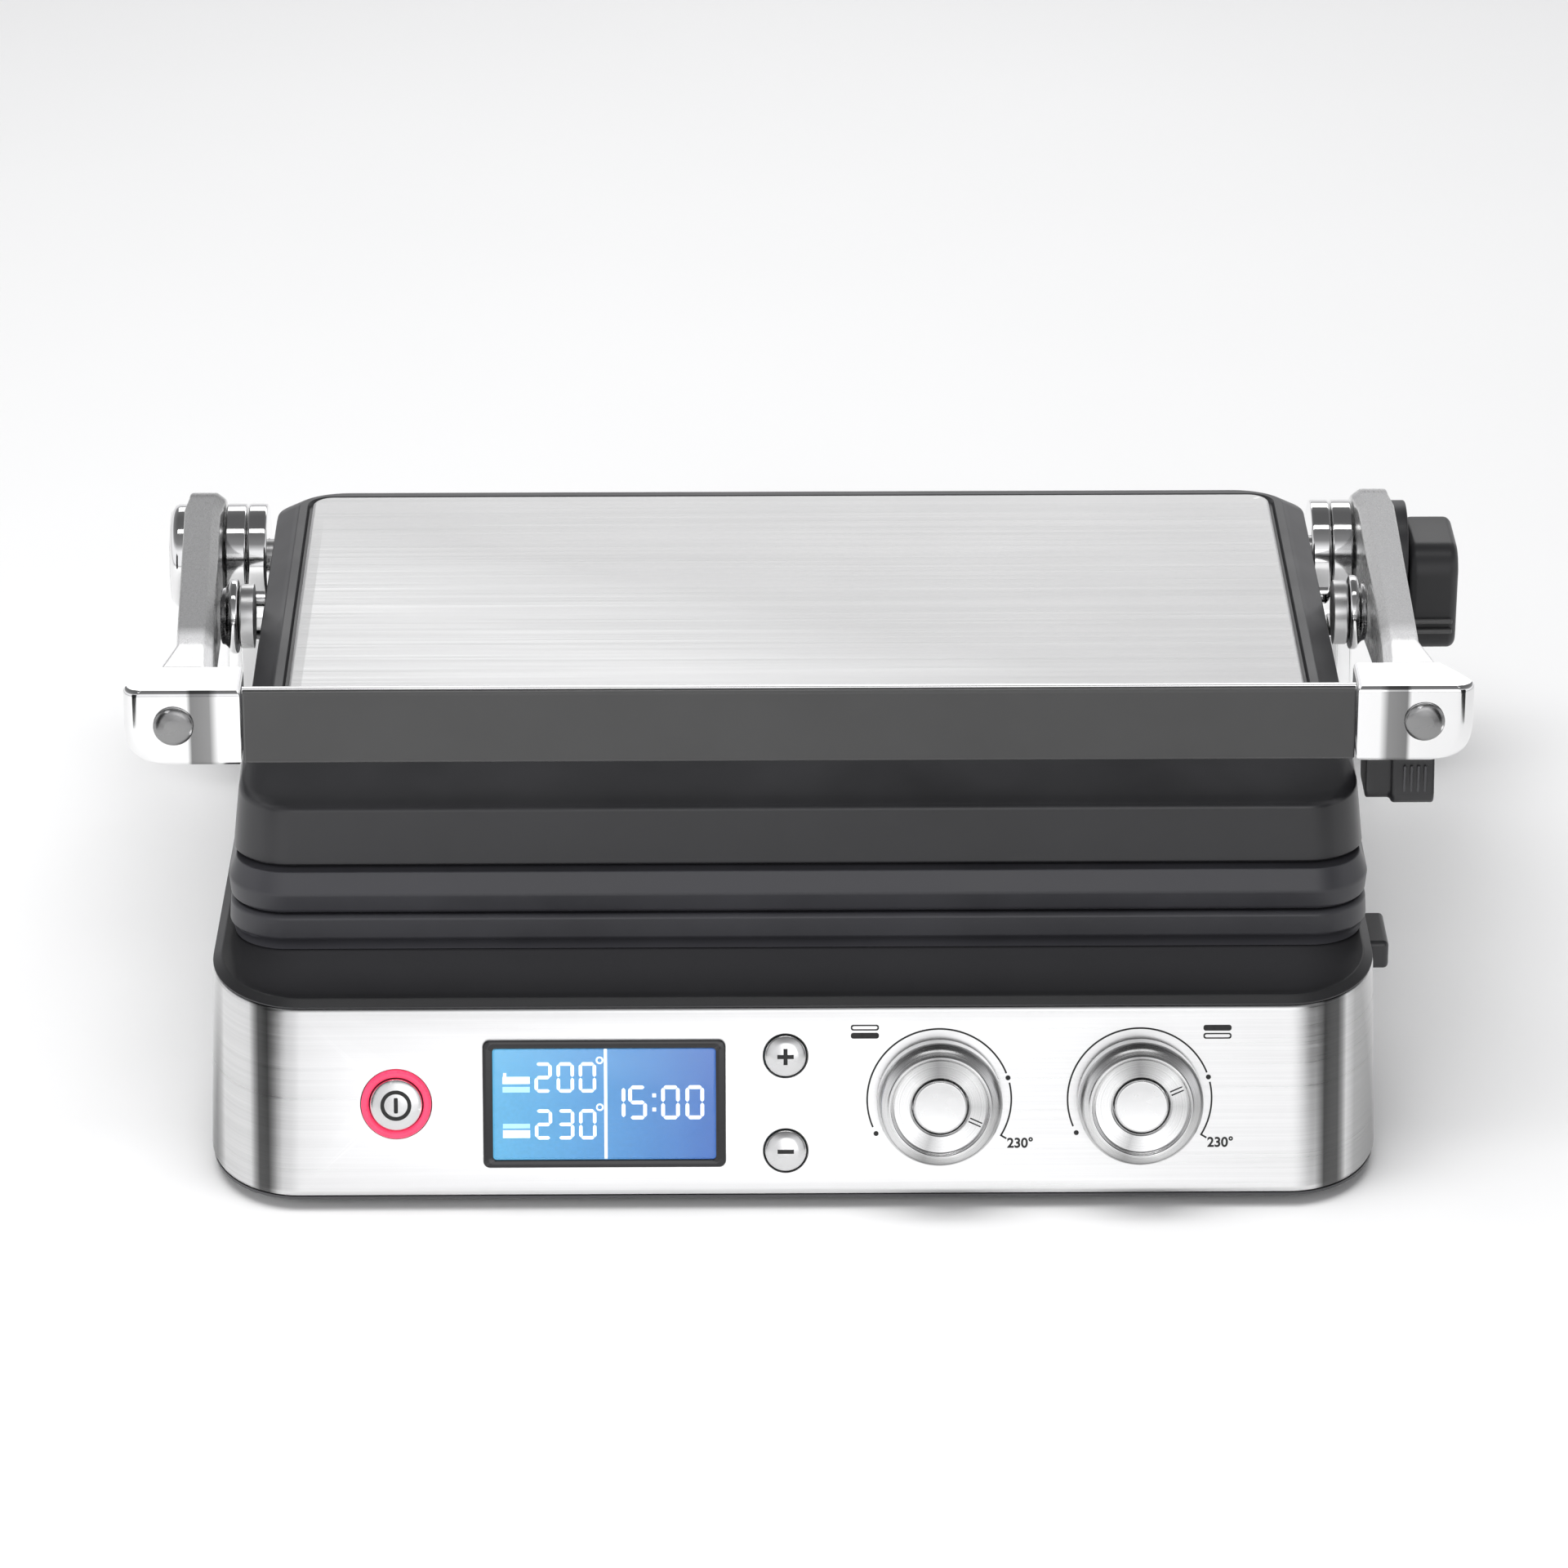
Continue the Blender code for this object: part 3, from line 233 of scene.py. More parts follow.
def brushed(name, scale, light, roughness, strength=0.18, bands=None, axis="X", limit=None, **values):
    """Brushed metal. The scale stretches its fine lines along one direction."""
    made = Finish(name, grey(light), roughness, 1.0, **values)
    lines = made.noise(made.coordinates(scale), 1.0, 6.0, 0.7)
    clouds = made.clouds(9.0, 2.0)
    tone = made.colours(lines, (0.28, grey(light * 0.86)), (0.72, grey(min(light * 1.08, 0.98))))
    mottled = made.blend(0.10, tone, made.colours(clouds, (0.3, grey(light * 0.6)), (0.7, grey(0.95))))
    # Sharp edges lighten to a painted highlight; bands of painted reflection and painted shade multiply in
    # after.
    painted_tone = made.blend(made.edges(), mottled, grey(0.95))
    if bands:
        painted_tone = made.banded(painted_tone, bands, axis, limit, 0.012)
    made.paint(painted_tone, made.spread(lines, roughness * 0.85, roughness * 1.2))
    made.bump(lines, strength, 0.00006)


def polished(name, light, roughness, bands=None, limit=None, **values):
    """Plated metal with faint smears and a fine orange peel."""
    made = Finish(name, grey(light), roughness, 1.0, **values)
    smears = made.clouds(55.0, 4.0)
    peel = made.clouds(420.0, 2.0)
    tone = made.colours(smears, (0.3, grey(light * 0.93)), (0.7, grey(light)))
    # Sharp edges lighten to a painted highlight; bands, where given, are painted reflection.
    tone = made.blend(made.edges(), tone, grey(0.95))
    if bands:
        tone = made.banded(tone, bands, limit=limit)
    made.paint(tone, made.spread(smears, roughness * 0.7, roughness * 1.5))
    made.bump(peel, 0.05, 0.00004)


def moulded(name, colour, roughness, grain=1500.0, strength=0.25, highlight_gain=1.7, **values):
    """Moulded plastic: a fine grain, slight mottling and lighter edges as a painted highlight."""
    made = Finish(name, colour, roughness, 0.0, **values)
    specks = made.clouds(grain, 2.0, 0.6)
    clouds = made.clouds(24.0, 3.0)
    dark = tuple(channel * 0.84 for channel in colour)
    light = tuple(channel * 1.14 for channel in colour)
    # Sharp edges get a painted highlight of this colour.
    highlight_colour = tuple(channel * highlight_gain + 0.01 for channel in colour)
    tone = made.colours(clouds, (0.3, dark), (0.7, light))
    tone = made.blend(made.edges(), tone, highlight_colour)
    made.paint(tone, made.spread(clouds, roughness * 0.86, roughness * 1.14))
    made.bump(specks, strength, 0.00004)


def spun(name, light, roughness):
    """Metal turned on a lathe: fine rings about its local z axis, a gloss stretched across them, and fans of
    painted highlight and painted shade round its face.
    """
    made = Finish(name, grey(light), roughness, 1.0, Anisotropic=0.75)
    source = made.add("ShaderNodeTexCoord")
    flat = made.add("ShaderNodeMapping")
    flat.inputs["Scale"].default_value = (1.0, 1.0, 0.0)
    made.link(source.outputs["Object"], flat.inputs["Vector"])
    length = made.add("ShaderNodeVectorMath", operation="LENGTH")
    made.link(flat.outputs["Vector"], length.inputs[0])
    rings = made.add("ShaderNodeTexNoise", noise_dimensions="1D")
    rings.inputs["Scale"].default_value = 2600.0
    rings.inputs["Detail"].default_value = 4.0
    made.link(length.outputs["Value"], rings.inputs["W"])
    tangent = made.add("ShaderNodeTangent", direction_type="RADIAL", axis="Z")
    made.link(tangent.outputs["Tangent"], made.shader.inputs["Tangent"])
    tone = made.colours(rings.outputs["Fac"], (0.3, grey(light * 0.88)), (0.7, grey(min(light * 1.06, 0.98))))
    # Fans of painted highlight and painted shade, by angle round the axis.
    turned = made.add("ShaderNodeTexGradient", gradient_type="RADIAL")
    made.link(source.outputs["Object"], turned.inputs["Vector"])
    painted_fans = made.colours(turned.outputs["Fac"], *[(place, grey(share)) for place, share in KNOB_PAINTED_FANS])
    tone = made.blend(1.0, tone, painted_fans, "MULTIPLY")
    made.paint(tone, made.spread(rings.outputs["Fac"], roughness * 0.85, roughness * 1.2))
    made.bump(rings.outputs["Fac"], 0.10, 0.00003)


def coated_plate():
    """Non-stick coating: near black, with fine light specks and an uneven gloss."""
    made = Finish("nonstick_plate", grey(0.03), 0.42)
    made.shader.inputs["Coat Weight"].default_value = 0.15
    made.shader.inputs["Coat Roughness"].default_value = 0.3
    specks = made.clouds(1900.0, 1.0)
    clouds = made.clouds(30.0, 3.0)
    tone = made.colours(specks, (0.60, grey(0.026)), (0.74, grey(0.16)))
    made.paint(tone, made.spread(clouds, 0.34, 0.52))
    made.bump(specks, 0.2, 0.00005)


def heated_steel():
    """A tubular heater: dull steel with straw and blue heat tints."""
    made = Finish("heater_steel", grey(0.22), 0.5, 1.0)
    clouds = made.clouds(22.0, 4.0)
    plain, straw, blue = (0.16, 0.15, 0.17), (0.24, 0.21, 0.17), (0.15, 0.17, 0.24)
    tone = made.colours(clouds, (0.30, plain), (0.50, straw), (0.70, blue))
    made.paint(tone, made.spread(clouds, 0.42, 0.62))
    made.bump(clouds, 0.2, 0.0001)


def circuit_board():
    made = Finish("board_green", (0.02, 0.16, 0.07), 0.45)
    tracks = made.add("ShaderNodeTexBrick")
    tracks.inputs["Scale"].default_value = 260.0
    tracks.inputs["Color1"].default_value = (0.015, 0.15, 0.06, 1.0)
    tracks.inputs["Color2"].default_value = (0.02, 0.19, 0.08, 1.0)
    tracks.inputs["Mortar"].default_value = (0.05, 0.30, 0.13, 1.0)
    made.link(made.coordinates((1.0, 1.0, 1.0)), tracks.inputs["Vector"])
    made.paint(tracks.outputs["Color"])
    made.bump(tracks.outputs["Fac"], 0.2, 0.00003)


def lit_screen(left, right):
    """The lit display: light cyan at its left, deeper blue at its right, with a faint cell pattern."""
    made = Finish("display_blue", (0.02, 0.05, 0.09), 0.35)
    source = made.add("ShaderNodeTexCoord")
    parts = made.add("ShaderNodeSeparateXYZ")
    made.link(source.outputs["Object"], parts.inputs["Vector"])
    across = made.spread(parts.outputs["X"], 0.0, 1.0, (left, right))
    cyan, blue, deep_blue = (0.13, 0.56, 0.90), (0.085, 0.37, 0.76), (0.045, 0.15, 0.55)
    tone = made.colours(across, (0.0, cyan), (0.45, blue), (1.0, deep_blue))
    cells = made.clouds(900.0, 1.0)
    shade = made.colours(cells, (0.3, grey(0.90)), (0.7, grey(1.0)))
    made.link(made.blend(1.0, tone, shade, "MULTIPLY"), made.shader.inputs["Emission Color"])
    made.shader.inputs["Emission Strength"].default_value = 0.92


def glowing(name, colour, dim, strength):
    """A lit plastic part, slightly uneven in its glow."""
    roughness = 0.3
    made = Finish(name, tuple(channel * 0.6 for channel in colour), roughness)
    clouds = made.clouds(180.0, 2.0)
    made.link(made.colours(clouds, (0.3, dim), (0.7, colour)), made.shader.inputs["Emission Color"])
    made.shader.inputs["Emission Strength"].default_value = strength
    made.paint(None, made.spread(clouds, roughness * 0.8, roughness * 1.2))


def printed(name, colour):
    """Screen-printed ink with a slightly uneven edge of gloss."""
    made = Finish(name, colour, 0.55)
    clouds = made.clouds(800.0, 2.0)
    made.paint(
        made.colours(clouds, (0.3, tuple(c * 0.7 for c in colour)), (0.7, colour)),
        made.spread(clouds, 0.45, 0.7),
    )


def clear_window():
    made = Finish("display_glass", (0.92, 0.96, 1.0), 0.03, 0.0, Transmission_Weight=1.0, IOR=1.45)
    smears = made.clouds(60.0, 3.0)
    made.paint(made.colours(smears, (0.3, (0.88, 0.93, 0.97)), (0.7, (0.94, 0.97, 1.0))))
    made.paint(None, made.spread(smears, 0.02, 0.07))


def pale_floor():
    made = Finish("pale_floor", grey(0.90), 0.8)
    clouds = made.clouds(3.0, 2.0)
    made.paint(made.colours(clouds, (0.2, grey(0.89)), (0.8, grey(0.91))))


def make_materials():
    # The shell's metal carries dark bands of painted reflection at its front corners.
    brushed("brushed_steel", (4.0, 4.0, 900.0), 0.68, 0.30, bands=SHELL_PAINTED_REFLECTION, limit=0.030)
    brushed("brushed_cover", (4.0, 900.0, 4.0), 0.80, 0.42)
    polished("chrome", 0.88, 0.07)
    # The handle ends' chrome carries a dark band of painted reflection on its front face.
    polished("end_chrome", 0.88, 0.07, bands=END_PAINTED_REFLECTION, limit=spot("handle_end_left")[0].y + 0.0009)
    # Each arm's metal carries its own painted shade along its length.
    for side, bands in (("left", LEFT_ARM_PAINTED_SHADE), ("right", RIGHT_ARM_PAINTED_SHADE)):
        brushed(f"{side}_arm_metal", (900.0, 6.0, 900.0), 0.80, 0.26, strength=0.05, bands=bands, axis="Y")
    polished("sheet_steel", 0.62, 0.30)
    spun("spun_metal", 0.80, 0.24)
    polished("button_metal", 0.70, 0.24)
    polished("cap_metal", 0.30, 0.26)
    moulded("lid_plastic", (0.020, 0.020, 0.022), 0.34)
    moulded("grip_plastic", (0.038, 0.038, 0.038), 0.42, strength=0.3)
    moulded("frame_plastic", (0.032, 0.032, 0.037), 0.42)
    moulded("black_plastic", (0.012, 0.012, 0.013), 0.38, highlight_gain=4.0)
    moulded("gloss_black", (0.006, 0.006, 0.007), 0.10, strength=0.05, highlight_gain=2.0)
    moulded("rubber", (0.014, 0.014, 0.014), 0.75, 700.0, 0.5)
    coated_plate()
    heated_steel()
    circuit_board()
    low, high = spot("lcd_panel", PANEL)
    lit_screen(low.x, high.x)
    glowing("ring_red", (0.90, 0.055, 0.14), (0.78, 0.035, 0.10), 0.75)
    glowing("screen_white", (1.0, 1.0, 1.0), (0.94, 0.97, 1.0), 0.95)
    glowing("screen_pale", (0.50, 0.80, 1.0), (0.44, 0.74, 0.95), 0.9)
    printed("black_ink", grey(0.010))
    clear_window()
    pale_floor()


# ---- Mesh helpers ----
def softened(points, reach, steps=5, closed=False):
    """The same path with its corners rounded. Reach is one number or a list."""
    count = len(points)
    reaches = reach if isinstance(reach, (list, tuple)) else [reach] * count
    made = []
    for index, point in enumerate(points):
        at_end = not closed and index in (0, count - 1)
        if at_end or reaches[index] == 0:
            made.append(tuple(point))
            continue
        ends = []
        for other in (points[index - 1], points[(index + 1) % count]):
            steps_apart = [b - a for a, b in zip(point, other)]
            share = min(reaches[index] / max(max(abs(s) for s in steps_apart), 1e-9), 0.46)
            ends.append([a + s * share for a, s in zip(point, steps_apart)])
        for step in range(steps + 1):
            t = step / steps
            made.append(tuple(
                (1 - t) ** 2 * a + 2 * t * (1 - t) * b + t * t * c for a, b, c in zip(ends[0], point, ends[1])
            ))
    return made


def finish_mesh(name, bm):
    bmesh.ops.recalc_face_normals(bm, faces=bm.faces[:])
    mesh = bpy.data.meshes.new(name)
    bm.to_mesh(mesh)
    bm.free()
    return mesh


def add_rings(bm, rings, closed=False):
    """Quads between successive rings of points, with flat ends, or a closed wall back to the first ring."""
    loops = [[bm.verts.new(point) for point in ring] for ring in rings]
    count = len(rings[0])
    pairs = list(zip(loops, loops[1:]))
    if closed:
        pairs.append((loops[-1], loops[0]))
    for first, second in pairs:
        for i in range(count):
            j = (i + 1) % count
            bm.faces.new((first[i], first[j], second[j], second[i]))
    if not closed:
        bm.faces.new(loops[0])
        bm.faces.new(loops[-1])


def ring_mesh(name, rings, closed=False):
    bm = bmesh.new()
    add_rings(bm, rings, closed)
    return finish_mesh(name, bm)


def outline(half, front, rear, front_corner, rear_corner=None, stops=()):
    """Plan of a rectangle with elliptical corners, from the front right corner, counter-clockwise."""
    rear_corner = rear_corner or front_corner
    corners = (
        (1, front, front_corner, -90),
        (1, rear, rear_corner, 0),
        (-1, rear, rear_corner, 90),
        (-1, front, front_corner, 180),
    )
    points = []
    for side, edge, (across, along), start in corners:
        middle_x = side * (half - across)
        middle_y = edge + along if edge == front else edge - along
        if side == -1 and edge == front:
            points += [(-half, y) for y in sorted(stops, reverse=True)]
        for step in range(CORNER_STEPS):
            angle = math.radians(start + 90 * step / (CORNER_STEPS - 1))
            points.append((middle_x + across * math.cos(angle), middle_y + along * math.sin(angle)))
        if side == 1 and edge == front:
            points += [(half, y) for y in sorted(stops)]
    return points


def at_height(points, z):
    return [(x, y, z) for x, y in points]


def add_slab(bm, plan, low, high):
    add_rings(bm, [at_height(plan, low), at_height(plan, high)])


def moved(plan, x, y=0.0):
    return [(px + x, py + y) for px, py in plan]


def mirrored(rings, side):
    """Rings made for the right-hand side, as they are (1) or on the left (-1)."""
    return [[(side * x, y, z) for x, y, z in ring] for ring in rings]


def arc(x, y, radius, start, end, steps):
    """Points along an arc. Angles are in degrees, counter-clockwise from +x."""
    angles = [math.radians(start + (end - start) * step / steps) for step in range(steps + 1)]
    return [(x + radius * math.cos(a), y + radius * math.sin(a)) for a in angles]


def plan_ring(low, high, z, inset, corner):
    """A level of a plan between two corners, drawn in by the inset, with round corners."""
    half = (high.x - low.x) / 2
    return at_height(outline(half - inset, low.y + inset, high.y - inset, (corner, corner)), z)


def circle(x, y, radius, steps=ROUND_STEPS):
    angles = [2 * math.pi * step / steps for step in range(steps)]
    return [(x + radius * math.cos(a), y + radius * math.sin(a)) for a in angles]


def box_rings(low, high):
    plan = [(low[0], low[1]), (high[0], low[1]), (high[0], high[1]), (low[0], high[1])]
    return [at_height(plan, low[2]), at_height(plan, high[2])]


def turned_mesh(name, profile, steps=ROUND_STEPS):
    """A solid turned about local Z from (radius, height) points. Radius 0 is allowed at the two ends only."""
    bm = bmesh.new()
    on_axis = profile[0][0] == 0
    turned = profile[1:-1] if on_axis else profile
    rings = [at_height(circle(0.0, 0.0, radius, steps), height) for radius, height in turned]
    add_rings(bm, rings, closed=not on_axis)
    return finish_mesh(name, bm)


def domed(profile, top, rise, steps=6):
    """A turned profile whose last point before the axis is followed by a shallow dome."""
    radius, height = profile[-1]
    points = [(0, profile[0][1])] if profile[0][0] else []
    points += profile
    for step in range(1, steps):
        share = step / steps
        points.append((radius * (1 - share), height + rise * (1 - (1 - share) ** 2)))
    points.append((0, top))
    return points


def across(position, side=1):
    """A place whose local Z points along +X or -X."""
    turn = Matrix.Rotation(side * math.pi / 2, 4, "Y")
    return Matrix.Translation(ORIGIN + Vector(position)) @ turn


def on_panel(x, y, z=0.0):
    return PANEL @ Matrix.Translation((x, y, z))


def evaluated(obj):
    """The mesh of an object with its modifiers applied."""
    graph = bpy.context.evaluated_depsgraph_get()
    return bpy.data.meshes.new_from_object(obj.evaluated_get(graph), depsgraph=graph)


def plain_object(name, mesh, place=PRESS):
    obj = bpy.data.objects.new(name, mesh)
    bpy.context.scene.collection.objects.link(obj)
    obj.matrix_world = place
    return obj


def combined(mesh, place, *changes):
    """The mesh after Booleans. Each change is (operation, other mesh), in the same place."""
    obj = plain_object(mesh.name, mesh, place)
    helpers = []
    for operation, other in changes:
        helper = plain_object(other.name, other, place)
        modifier = obj.modifiers.new(other.name, "BOOLEAN")
        modifier.object = helper
        modifier.operation = operation
        modifier.solver = "EXACT"
        helpers.append(helper)
    result = evaluated(obj)
    for used in (obj, *helpers):
        bpy.data.objects.remove(used)
    return result


def bevelled(mesh, width, segments=3, angle=30.0):
    """The mesh with its edges rounded."""
    obj = plain_object(mesh.name, mesh)
    modifier = obj.modifiers.new("edge", "BEVEL")
    modifier.width = width
    modifier.segments = segments
    modifier.limit_method = "ANGLE"
    modifier.angle_limit = math.radians(angle)
    result = evaluated(obj)
    bpy.data.objects.remove(obj)
    return result


def piece(name, mesh, body, material, slot=None, stands_for=(), place=PRESS, sharp=38.0):
    """A finished piece, riding on its CAD body. Its slot argument is not used."""
    slot = slot or material
    obj = plain_object(name, mesh, place)
    mesh.name = name
    mesh.shade_smooth()
    mesh.set_sharp_from_angle(angle=math.radians(sharp))
    mesh.materials.clear()
    mesh.materials.append(MATERIALS[material])
    weighted = obj.modifiers.new("shading", "WEIGHTED_NORMAL")
    weighted.keep_sharp = True
    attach(obj, body)
    if stands_for:
        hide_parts(*stands_for)
    return obj


def stand_in(node, mesh, body, material, slot=None, **more):
    """A piece that takes the place of the CAD node with its name."""
    return piece(f"{node}_surface", mesh, body, material, slot, (node,), **more)


# ---- Base ----
def panel_front(z):
    """The front panel's y at this height."""
    return (z - SHELL_LOW) * math.tan(PANEL_LEAN)


LEFT_SPREAD = 0.0038
SHELL_DRAFT = 0.001
SHELL_WALL = 0.0012
FRONT_CORNER = (0.030, 0.040)
REAR_CORNER = (0.012, 0.012)


def base_ring(z, inset=0.0):
    """The base's outline. Its left side spreads a little towards the front."""
    draft = SHELL_DRAFT * (z - SHELL_LOW) / (SHELL_HIGH - SHELL_LOW)
    front = tuple(radius - inset for radius in FRONT_CORNER)
    rear = tuple(radius - inset for radius in REAR_CORNER)
    plan = outline(BASE_HALF - draft - inset, panel_front(z) + inset, BASE_DEPTH - inset, front, rear)
    spread = [(x - LEFT_SPREAD if x < 0 and y < BASE_DEPTH / 2 else x, y) for x, y in plan]
    return at_height(spread, z)


def make_base_pan():
    low, high = spot("base_pan")
    inset = SHELL_WALL + 0.0016
    plan = [(x, y) for x, y, _ in base_ring(SHELL_LOW, inset)]
    small = [(x, y) for x, y, _ in base_ring(SHELL_LOW, inset + 0.0005)]
    lip = [(x, y) for x, y, _ in base_ring(SHELL_LOW, 0.0006)]
    lip_top = SHELL_LOW - GAP
    rings = [at_height(small, low.z), at_height(lip, low.z + 0.0002), at_height(lip, lip_top)]
    rings += [at_height(plan, lip_top), at_height(plan, high.z)]
    vents = bmesh.new()
    for row in range(3):
        for index in range(-6, 7):
            slot_plan = outline(0.0013, 0.110 + 0.060 * row, 0.150 + 0.060 * row, (0.0012, 0.0012))
            add_slab(vents, moved(slot_plan, index * 0.014), low.z - 0.001, low.z + 0.0016)
    mesh = combined(ring_mesh("base_pan", rings), PRESS, ("DIFFERENCE", finish_mesh("pan_vents", vents)))
    stand_in("base_pan", mesh, "base", "black_plastic")


def make_feet():
    for end in ("front", "rear"):
        for side in ("left", "right"):
            node = f"foot_{end}_{side}"
            low, high = spot(node)
            middle = (low + high) / 2
            radius = (high.x - low.x) / 2
            profile = [(0, 0.0), (radius * 0.62, 0.0), (radius * 0.66, 0.0005), (radius - 0.0010, 0.0)]
            profile += [(radius, 0.0016), (radius, high.z), (0, high.z)]
            mesh = turned_mesh(node, softened(profile, [0, 0, 0.0002, 0.0002, 0.0006, 0, 0], 3), 64)
            place = Matrix.Translation(ORIGIN + Vector((middle.x, middle.y, 0.0)))
            stand_in(node, mesh, "base", "rubber", place=place)


def panel_cutters():
    """The openings of the front panel, each a clearance larger than what sits in it."""
    bm = bmesh.new()
    low, high = spot("display_bezel", PANEL)
    middle = (low + high) / 2
    margin = 0.0022
    half_width, half_height = (high.x - low.x) / 2 - margin, (high.y - low.y) / 2 - margin
    window = outline(half_width, -half_height, half_height, (0.002, 0.002))
    openings = [moved(window, middle.x, middle.y)]
    for node in ("power_ring", "plus_button", "minus_button"):
        low, high = spot(node, PANEL)
        openings.append(circle((low.x + high.x) / 2, (low.y + high.y) / 2, (high.x - low.x) / 2 + GAP))
    reach = 0.008
    for plan in openings:
        add_slab(bm, plan, -reach, reach)
    mesh = finish_mesh("panel_openings", bm)
    mesh.transform(PRESS.inverted() @ PANEL)
    return mesh


def body_cutters():
    """The openings in the shell's side and rear."""
    bm = bmesh.new()
    low, high = spot("lower_plate_release")
    margin, inside, outside = 0.0005, 0.178, 0.190
    corner = (inside, low.y - margin, low.z - margin)
    add_rings(bm, box_rings(corner, (outside, high.y + margin, high.z + margin)))
    low, high = spot("drip_tray")
    margin = 0.0008
    add_rings(bm, box_rings(
        (low.x - margin, BASE_DEPTH - 0.006, low.z - margin),
        (high.x + margin, BASE_DEPTH + 0.006, high.z + margin),
    ))
    middle = middle_of("cord_gland")
    ring = circle(middle.x, middle.z, 0.0073, 48)
    add_rings(bm, [[(x, y, z) for x, z in ring] for y in (BASE_DEPTH - 0.006, BASE_DEPTH + 0.006)])
    return finish_mesh("shell_openings", bm)


def make_base_shell():
    edge = 0.0008
    levels = [
        (SHELL_LOW, edge),
        (SHELL_LOW + edge * 1.5, 0.0),
        (SHELL_HIGH - edge, 0.0),
        (SHELL_HIGH, edge / 2),
        (SHELL_HIGH, SHELL_WALL + edge / 2),
        (SHELL_LOW, SHELL_WALL + edge / 2),
    ]
    levels = softened(levels, [0, 0.0006, 0.0005, 0.0003, 0, 0], 3)
    mesh = ring_mesh("base_shell", [base_ring(*level) for level in levels], closed=True)
    mesh = combined(mesh, PRESS, ("DIFFERENCE", panel_cutters()), ("DIFFERENCE", body_cutters()))
    stand_in("base_shell", mesh, "base", "brushed_steel", sharp=30.0)


def make_top_deck():
    low, high = spot("top_deck")
    chamfer = 0.003
    inner = outline(0.160, 0.0665, 0.3035, (0.008, 0.008))
    levels = [(low.z, 0.0002), (low.z + 0.0004, 0.0001), (high.z, chamfer), (high.z, chamfer + 0.004)]
    levels = softened(levels, [0, 0.0002, 0.0004, 0], 4)
    rings = [base_ring(*level) for level in levels] + [at_height(inner, high.z), at_height(inner, low.z)]
    deck = ring_mesh("top_deck", rings, closed=True)
    slots = bmesh.new()
    for index in range(-10, 11):
        plan = outline(0.0016, 0.3395, 0.3575, (0.0015, 0.0015))
        add_slab(slots, moved(plan, index * 0.0105), high.z - 0.0014, high.z + 0.002)
    deck = combined(deck, PRESS, ("DIFFERENCE", finish_mesh("deck_slots", slots)))
    stand_in("top_deck", deck, "base", "black_plastic", sharp=30.0)


def frame_ring(node, z, inset=0.0):
    """A level of a plate frame, inside the frame node's own plan."""
    return plan_ring(*spot(node), z, inset, 0.019 - inset)


def make_plate_frame(node, body, levels, reach):
    """A plastic frame round a plate, from (height, inset) levels and down again inside."""
    low, high = spot(node)
    wall = 0.0118
    hole = outline((high.x - low.x) / 2 - wall, low.y + wall, high.y - wall, (0.005, 0.005))
    rings = [frame_ring(node, *level) for level in softened(levels, reach, 4)]
    rings += [at_height(hole, high.z), at_height(hole, low.z)]
    stand_in(node, ring_mesh(node, rings, closed=True), body, "frame_plastic", sharp=30.0)


def make_plate_frames():
    low, high = spot("lower_frame")
    levels = [
        (low.z, 0.0016),
        (low.z + 0.0030, 0.0010),
        (low.z + 0.0044, 0.0),
        (high.z - 0.0010, 0.0004),
        (high.z, 0.0016),
        (high.z, 0.0050),
    ]
    make_plate_frame("lower_frame", "base", levels, [0, 0.0008, 0.0005, 0.0006, 0.0004, 0])
    low, high = spot("upper_frame")
    levels = [
        (low.z, 0.0050),
        (low.z, 0.0018),
        (low.z + 0.0010, 0.0006),
        (low.z + 0.0069, 0.0),
        (high.z, 0.0026),
        (high.z, 0.0070),
    ]
    make_plate_frame("upper_frame", "lid", levels, [0, 0.0004, 0.0006, 0.0008, 0.0004, 0])


def make_plate(node, body, face_sign):
    """A ribbed cooking plate. Its ribs point along face_sign."""
    low, high = spot(node)
    rib_high, rim_width = 0.0024, 0.003
    back = low.z if face_sign > 0 else high.z
    rim = high.z if face_sign > 0 else low.z
    floor = rim - face_sign * rib_high
    half = (high.x - low.x) / 2

    def ring(z, inset):
        return plan_ring(low, high, z, inset, max(0.006 - inset, 0.002))

    levels = [(back, 0.0), (rim, 0.0), (rim, rim_width)]
    levels += [(floor, rim_width + 0.001), (floor, rim_width + 0.004)]
    levels = softened(levels, [0, 0.0006, 0.0006, 0.0008, 0], 4)
    plate = ring_mesh(node, [ring(*level) for level in levels])
    ribs = bmesh.new()
    pitch = 0.0112
    count = int((half - 0.008) / pitch)
    root, top = floor - face_sign * 0.0008, rim - face_sign * 0.0001
    for index in range(-count, count + 1):
        x = index * pitch
        section = [(x - 0.0026, root), (x - 0.0014, top), (x + 0.0014, top), (x + 0.0026, root)]
        section = softened(section, [0, 0.0008, 0.0008, 0], 3)
        ends = ((low.y + 0.014, 0.35), (low.y + 0.0165, 1.0), (high.y - 0.0165, 1.0), (high.y - 0.014, 0.35))
        add_rings(ribs, [[(px, y, root + (pz - root) * share) for px, pz in section] for y, share in ends])
    mesh = combined(plate, PRESS, ("UNION", finish_mesh(f"{node}_ribs", ribs)))
    stand_in(node, mesh, body, "nonstick_plate")


def make_plate_release():
    low, high = spot("lower_plate_release")
    mesh = bevelled(ring_mesh("release", box_rings(low, high)), 0.0016, 4)
    stand_in("lower_plate_release", mesh, "plate_release", "black_plastic")
    ribs = bmesh.new()
    for index in range(-3, 4):
        y = (low.y + high.y) / 2 + index * 0.0026
        corner = (high.x - 0.0004, y - 0.0005, low.z + 0.0022)
        add_rings(ribs, box_rings(corner, (high.x, y + 0.0005, high.z - 0.0022)))
    ribs_mesh = bevelled(finish_mesh("release_ribs", ribs), 0.00018, 2)
    piece("plate_release_grip_ribs", ribs_mesh, "plate_release", "black_plastic")


